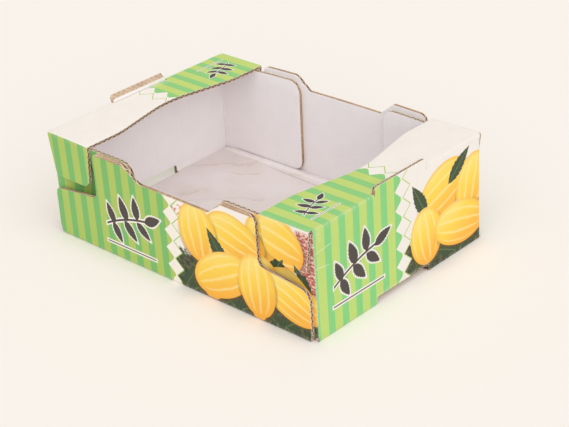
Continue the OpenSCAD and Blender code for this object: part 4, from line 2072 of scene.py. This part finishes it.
@dataclass
class TrayBoard:
    """The whole tray: one sheet of board, cut, folded and glued."""

    sizes: TraySizes = field(default_factory=TraySizes)
    board: Board = field(default_factory=Board)
    settling: Settling = field(default_factory=Settling)
    liner_density: Density = Density(column=16.0, row=9.0, bend=6)
    fluting_density: Density = Density(column=30.0, row=0.78, bend=3)
    front_lift: float = 1.2
    share_room: float = 0.008

    def walls(self) -> list[LongWall]:
        """Sizes the two long walls.

        Returns:
            The front wall and the back wall.
        """
        s, b = self.sizes, self.board
        front = LongWall(
            s, b, Way.NEGATIVE, height=s.front_wall + self.front_lift, left_ramp_radius=20.0,
            dip_depth=18.2, cut_slant=3.0,
        )
        return [front, LongWall(s, b, Way.POSITIVE, height=s.back_wall, left_ramp_radius=7.0)]

    def ends(self) -> list[TrayEnd]:
        """Sizes the two ends.

        Returns:
            The left end and the right end.
        """
        s, b = self.sizes, self.board
        left = TrayEnd(
            s, b, Way.NEGATIVE, slanted_tabs=False, print_shift=6.0, notch_height=13.4, stack_splay=3.2,
            stack_slant=4.6, stack_radius=7.5, flap_bow=14.0, tab_outer=1.0, tab_inner_radius=13.0,
            stack_plug=1.1, plug_tone=0.4, corner_crush=0.8, flap_print_shift=-1.0,
        )
        right = TrayEnd(
            s, b, Way.POSITIVE, slanted_tabs=True, print_shift=0.0, notch_height=9.0, stack_splay=0.0,
            stack_slant=0.6, stack_radius=8.0, flap_bow=6.0, tab_outer=2.0, tab_inner_radius=8.0,
            stack_plug=6.0, plug_tone=0.0, corner_crush=0.0, flap_print_shift=0.0,
        )
        return [left, right]

    def patches(self, density: Density) -> list[Patch]:
        """Lays out every panel and fold.

        Args:
            density: How finely the paper is divided.

        Returns:
            All the patches of the sheet.
        """
        walls, ends = self.walls(), self.ends()
        fixed = [mark for wall in walls for mark in wall.dip_marks()]
        spread = [
            x for x in even(self.sizes.length, density.column)
            if min(abs(x - m) for m in fixed) > self.share_room
        ]
        shares = np.array(sorted({0.0, 1.0, *spread, *fixed}))
        made = FloorPanel(self.sizes, self.board).patches(density, shares, ends[0].marks())
        for wall in walls:
            made += wall.patches(density, shares)
        for end in ends:
            made += end.patches(density)
        return made

    def build(self, paper: Paper) -> bpy.types.Object:
        """Builds one of the three papers.

        Args:
            paper: Which paper.

        Returns:
            Its object, without materials.
        """
        density = self.fluting_density if paper is Paper.FLUTING else self.liner_density
        sheet = SheetMesh(paper, self.board, self.sizes, self.settling)
        for patch in self.patches(density):
            sheet.add(patch)
        return sheet.to_object()

    @staticmethod
    def dress(piece: bpy.types.Object, *finishes: bpy.types.Material) -> None:
        """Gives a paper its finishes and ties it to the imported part.

        Args:
            piece: The paper.
            finishes: Its materials, in the order of its slots.
        """
        for finish in finishes:
            piece.data.materials.append(finish)
        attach(piece, "root")
        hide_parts("tray")


@dataclass(frozen=True)
class Studio:
    """Pale table, soft light and the camera at the photograph's angle."""

    table: Colour = ink(252, 246, 239)
    table_rough: float = 0.9
    table_half: float = 12.0
    table_drop: float = 0.0002
    sky: Colour = (1.0, 0.99, 0.98, 1.0)
    sky_strength: float = 0.67
    key_strength: float = 1.32
    key_spread: float = 80.0
    key_from: tuple[float, float, float] = (0.56, -0.38, 0.74)
    camera_at: tuple[float, float, float] = (1.15846, -1.14615, 0.89156)
    azimuth: float = 44.534
    elevation: float = 27.999
    roll: float = -3.866
    focal_pixels: float = 1541.12
    image_width: float = 569.0
    sensor: float = 36.0

    def build_table(self) -> None:
        """Makes the wide table that the tray stands on."""
        reach, drop = self.table_half, -self.table_drop
        corners = [(-reach, -reach, drop), (reach, -reach, drop), (reach, reach, drop), (-reach, reach, drop)]
        mesh = bpy.data.meshes.new("table")
        mesh.from_pydata(corners, [], [(0, 1, 2, 3)])
        surface = Surface("table_paper")
        surface.paint(self.table, self.table_rough)
        mesh.materials.append(surface.material)
        made = bpy.data.objects.new("table", mesh)
        bpy.context.scene.collection.objects.link(made)

    def build_light(self) -> None:
        """Sets the even sky light and one large soft lamp above the tray's right end."""
        world = bpy.data.worlds.new("studio")
        world.use_nodes = True
        net = Net(world.node_tree)
        background = world.node_tree.nodes["Background"]
        seen = net.out(net.node("LightPath"), "Is Camera Ray")
        net.feed(background.inputs["Color"], net.mix(seen, self.sky, self.table))
        net.feed(background.inputs["Strength"], seen * (1.0 - self.sky_strength) + self.sky_strength)
        bpy.context.scene.world = world
        lamp = bpy.data.lights.new("key", "SUN")
        lamp.angle = math.radians(self.key_spread)
        lamp.energy = self.key_strength
        made = bpy.data.objects.new("key", lamp)
        made.location = self.key_from
        aim = -made.location.normalized()
        made.rotation_euler = aim.to_track_quat("-Z", "Y").to_euler()
        bpy.context.scene.collection.objects.link(made)

    def build_camera(self) -> None:
        """Stands the camera where the photograph was taken from."""
        az, el, roll = (math.radians(a) for a in (self.azimuth, self.elevation, self.roll))
        back = np.array([math.sin(az) * math.cos(el), -math.cos(az) * math.cos(el), math.sin(el)])
        right = np.cross(-back, [0, 0, 1])
        right = right / np.linalg.norm(right)
        up = np.cross(right, -back)
        x_axis = right * math.cos(roll) + up * math.sin(roll)
        y_axis = up * math.cos(roll) - right * math.sin(roll)
        lens = bpy.data.cameras.new("camera")
        lens.sensor_fit = "HORIZONTAL"
        lens.sensor_width = self.sensor
        lens.lens = self.focal_pixels * self.sensor / self.image_width
        made = bpy.data.objects.new("camera", lens)
        turn = Matrix([list(row) for row in np.stack([x_axis, y_axis, back], axis=1)])
        made.matrix_world = Matrix.Translation(self.camera_at) @ turn.to_4x4()
        bpy.context.scene.collection.objects.link(made)
        bpy.context.scene.camera = made

    def build(self) -> None:
        """Builds the table, the light and the camera."""
        self.build_table()
        self.build_light()
        self.build_camera()
        bpy.context.scene.view_settings.view_transform = "Standard"


def main() -> None:
    """Builds the studio and the tray."""
    logging.basicConfig(level=logging.INFO)
    Studio().build()
    tray = TrayBoard()
    effects = Effects(tray.board)
    kraft = KraftPaper(effects).material()
    finishes = {
        Paper.OUTER_LINER: (PrintedLiner(effects).material(), kraft),
        Paper.INNER_LINER: (WhiteLiner(effects).material(), kraft),
        Paper.FLUTING: (kraft,),
    }
    for paper in Paper:
        piece = tray.build(paper)
        tray.dress(piece, *finishes[paper])
        log.info("%s: %d faces", piece.name, len(piece.data.polygons))


if __name__ == "__main__":
    main()
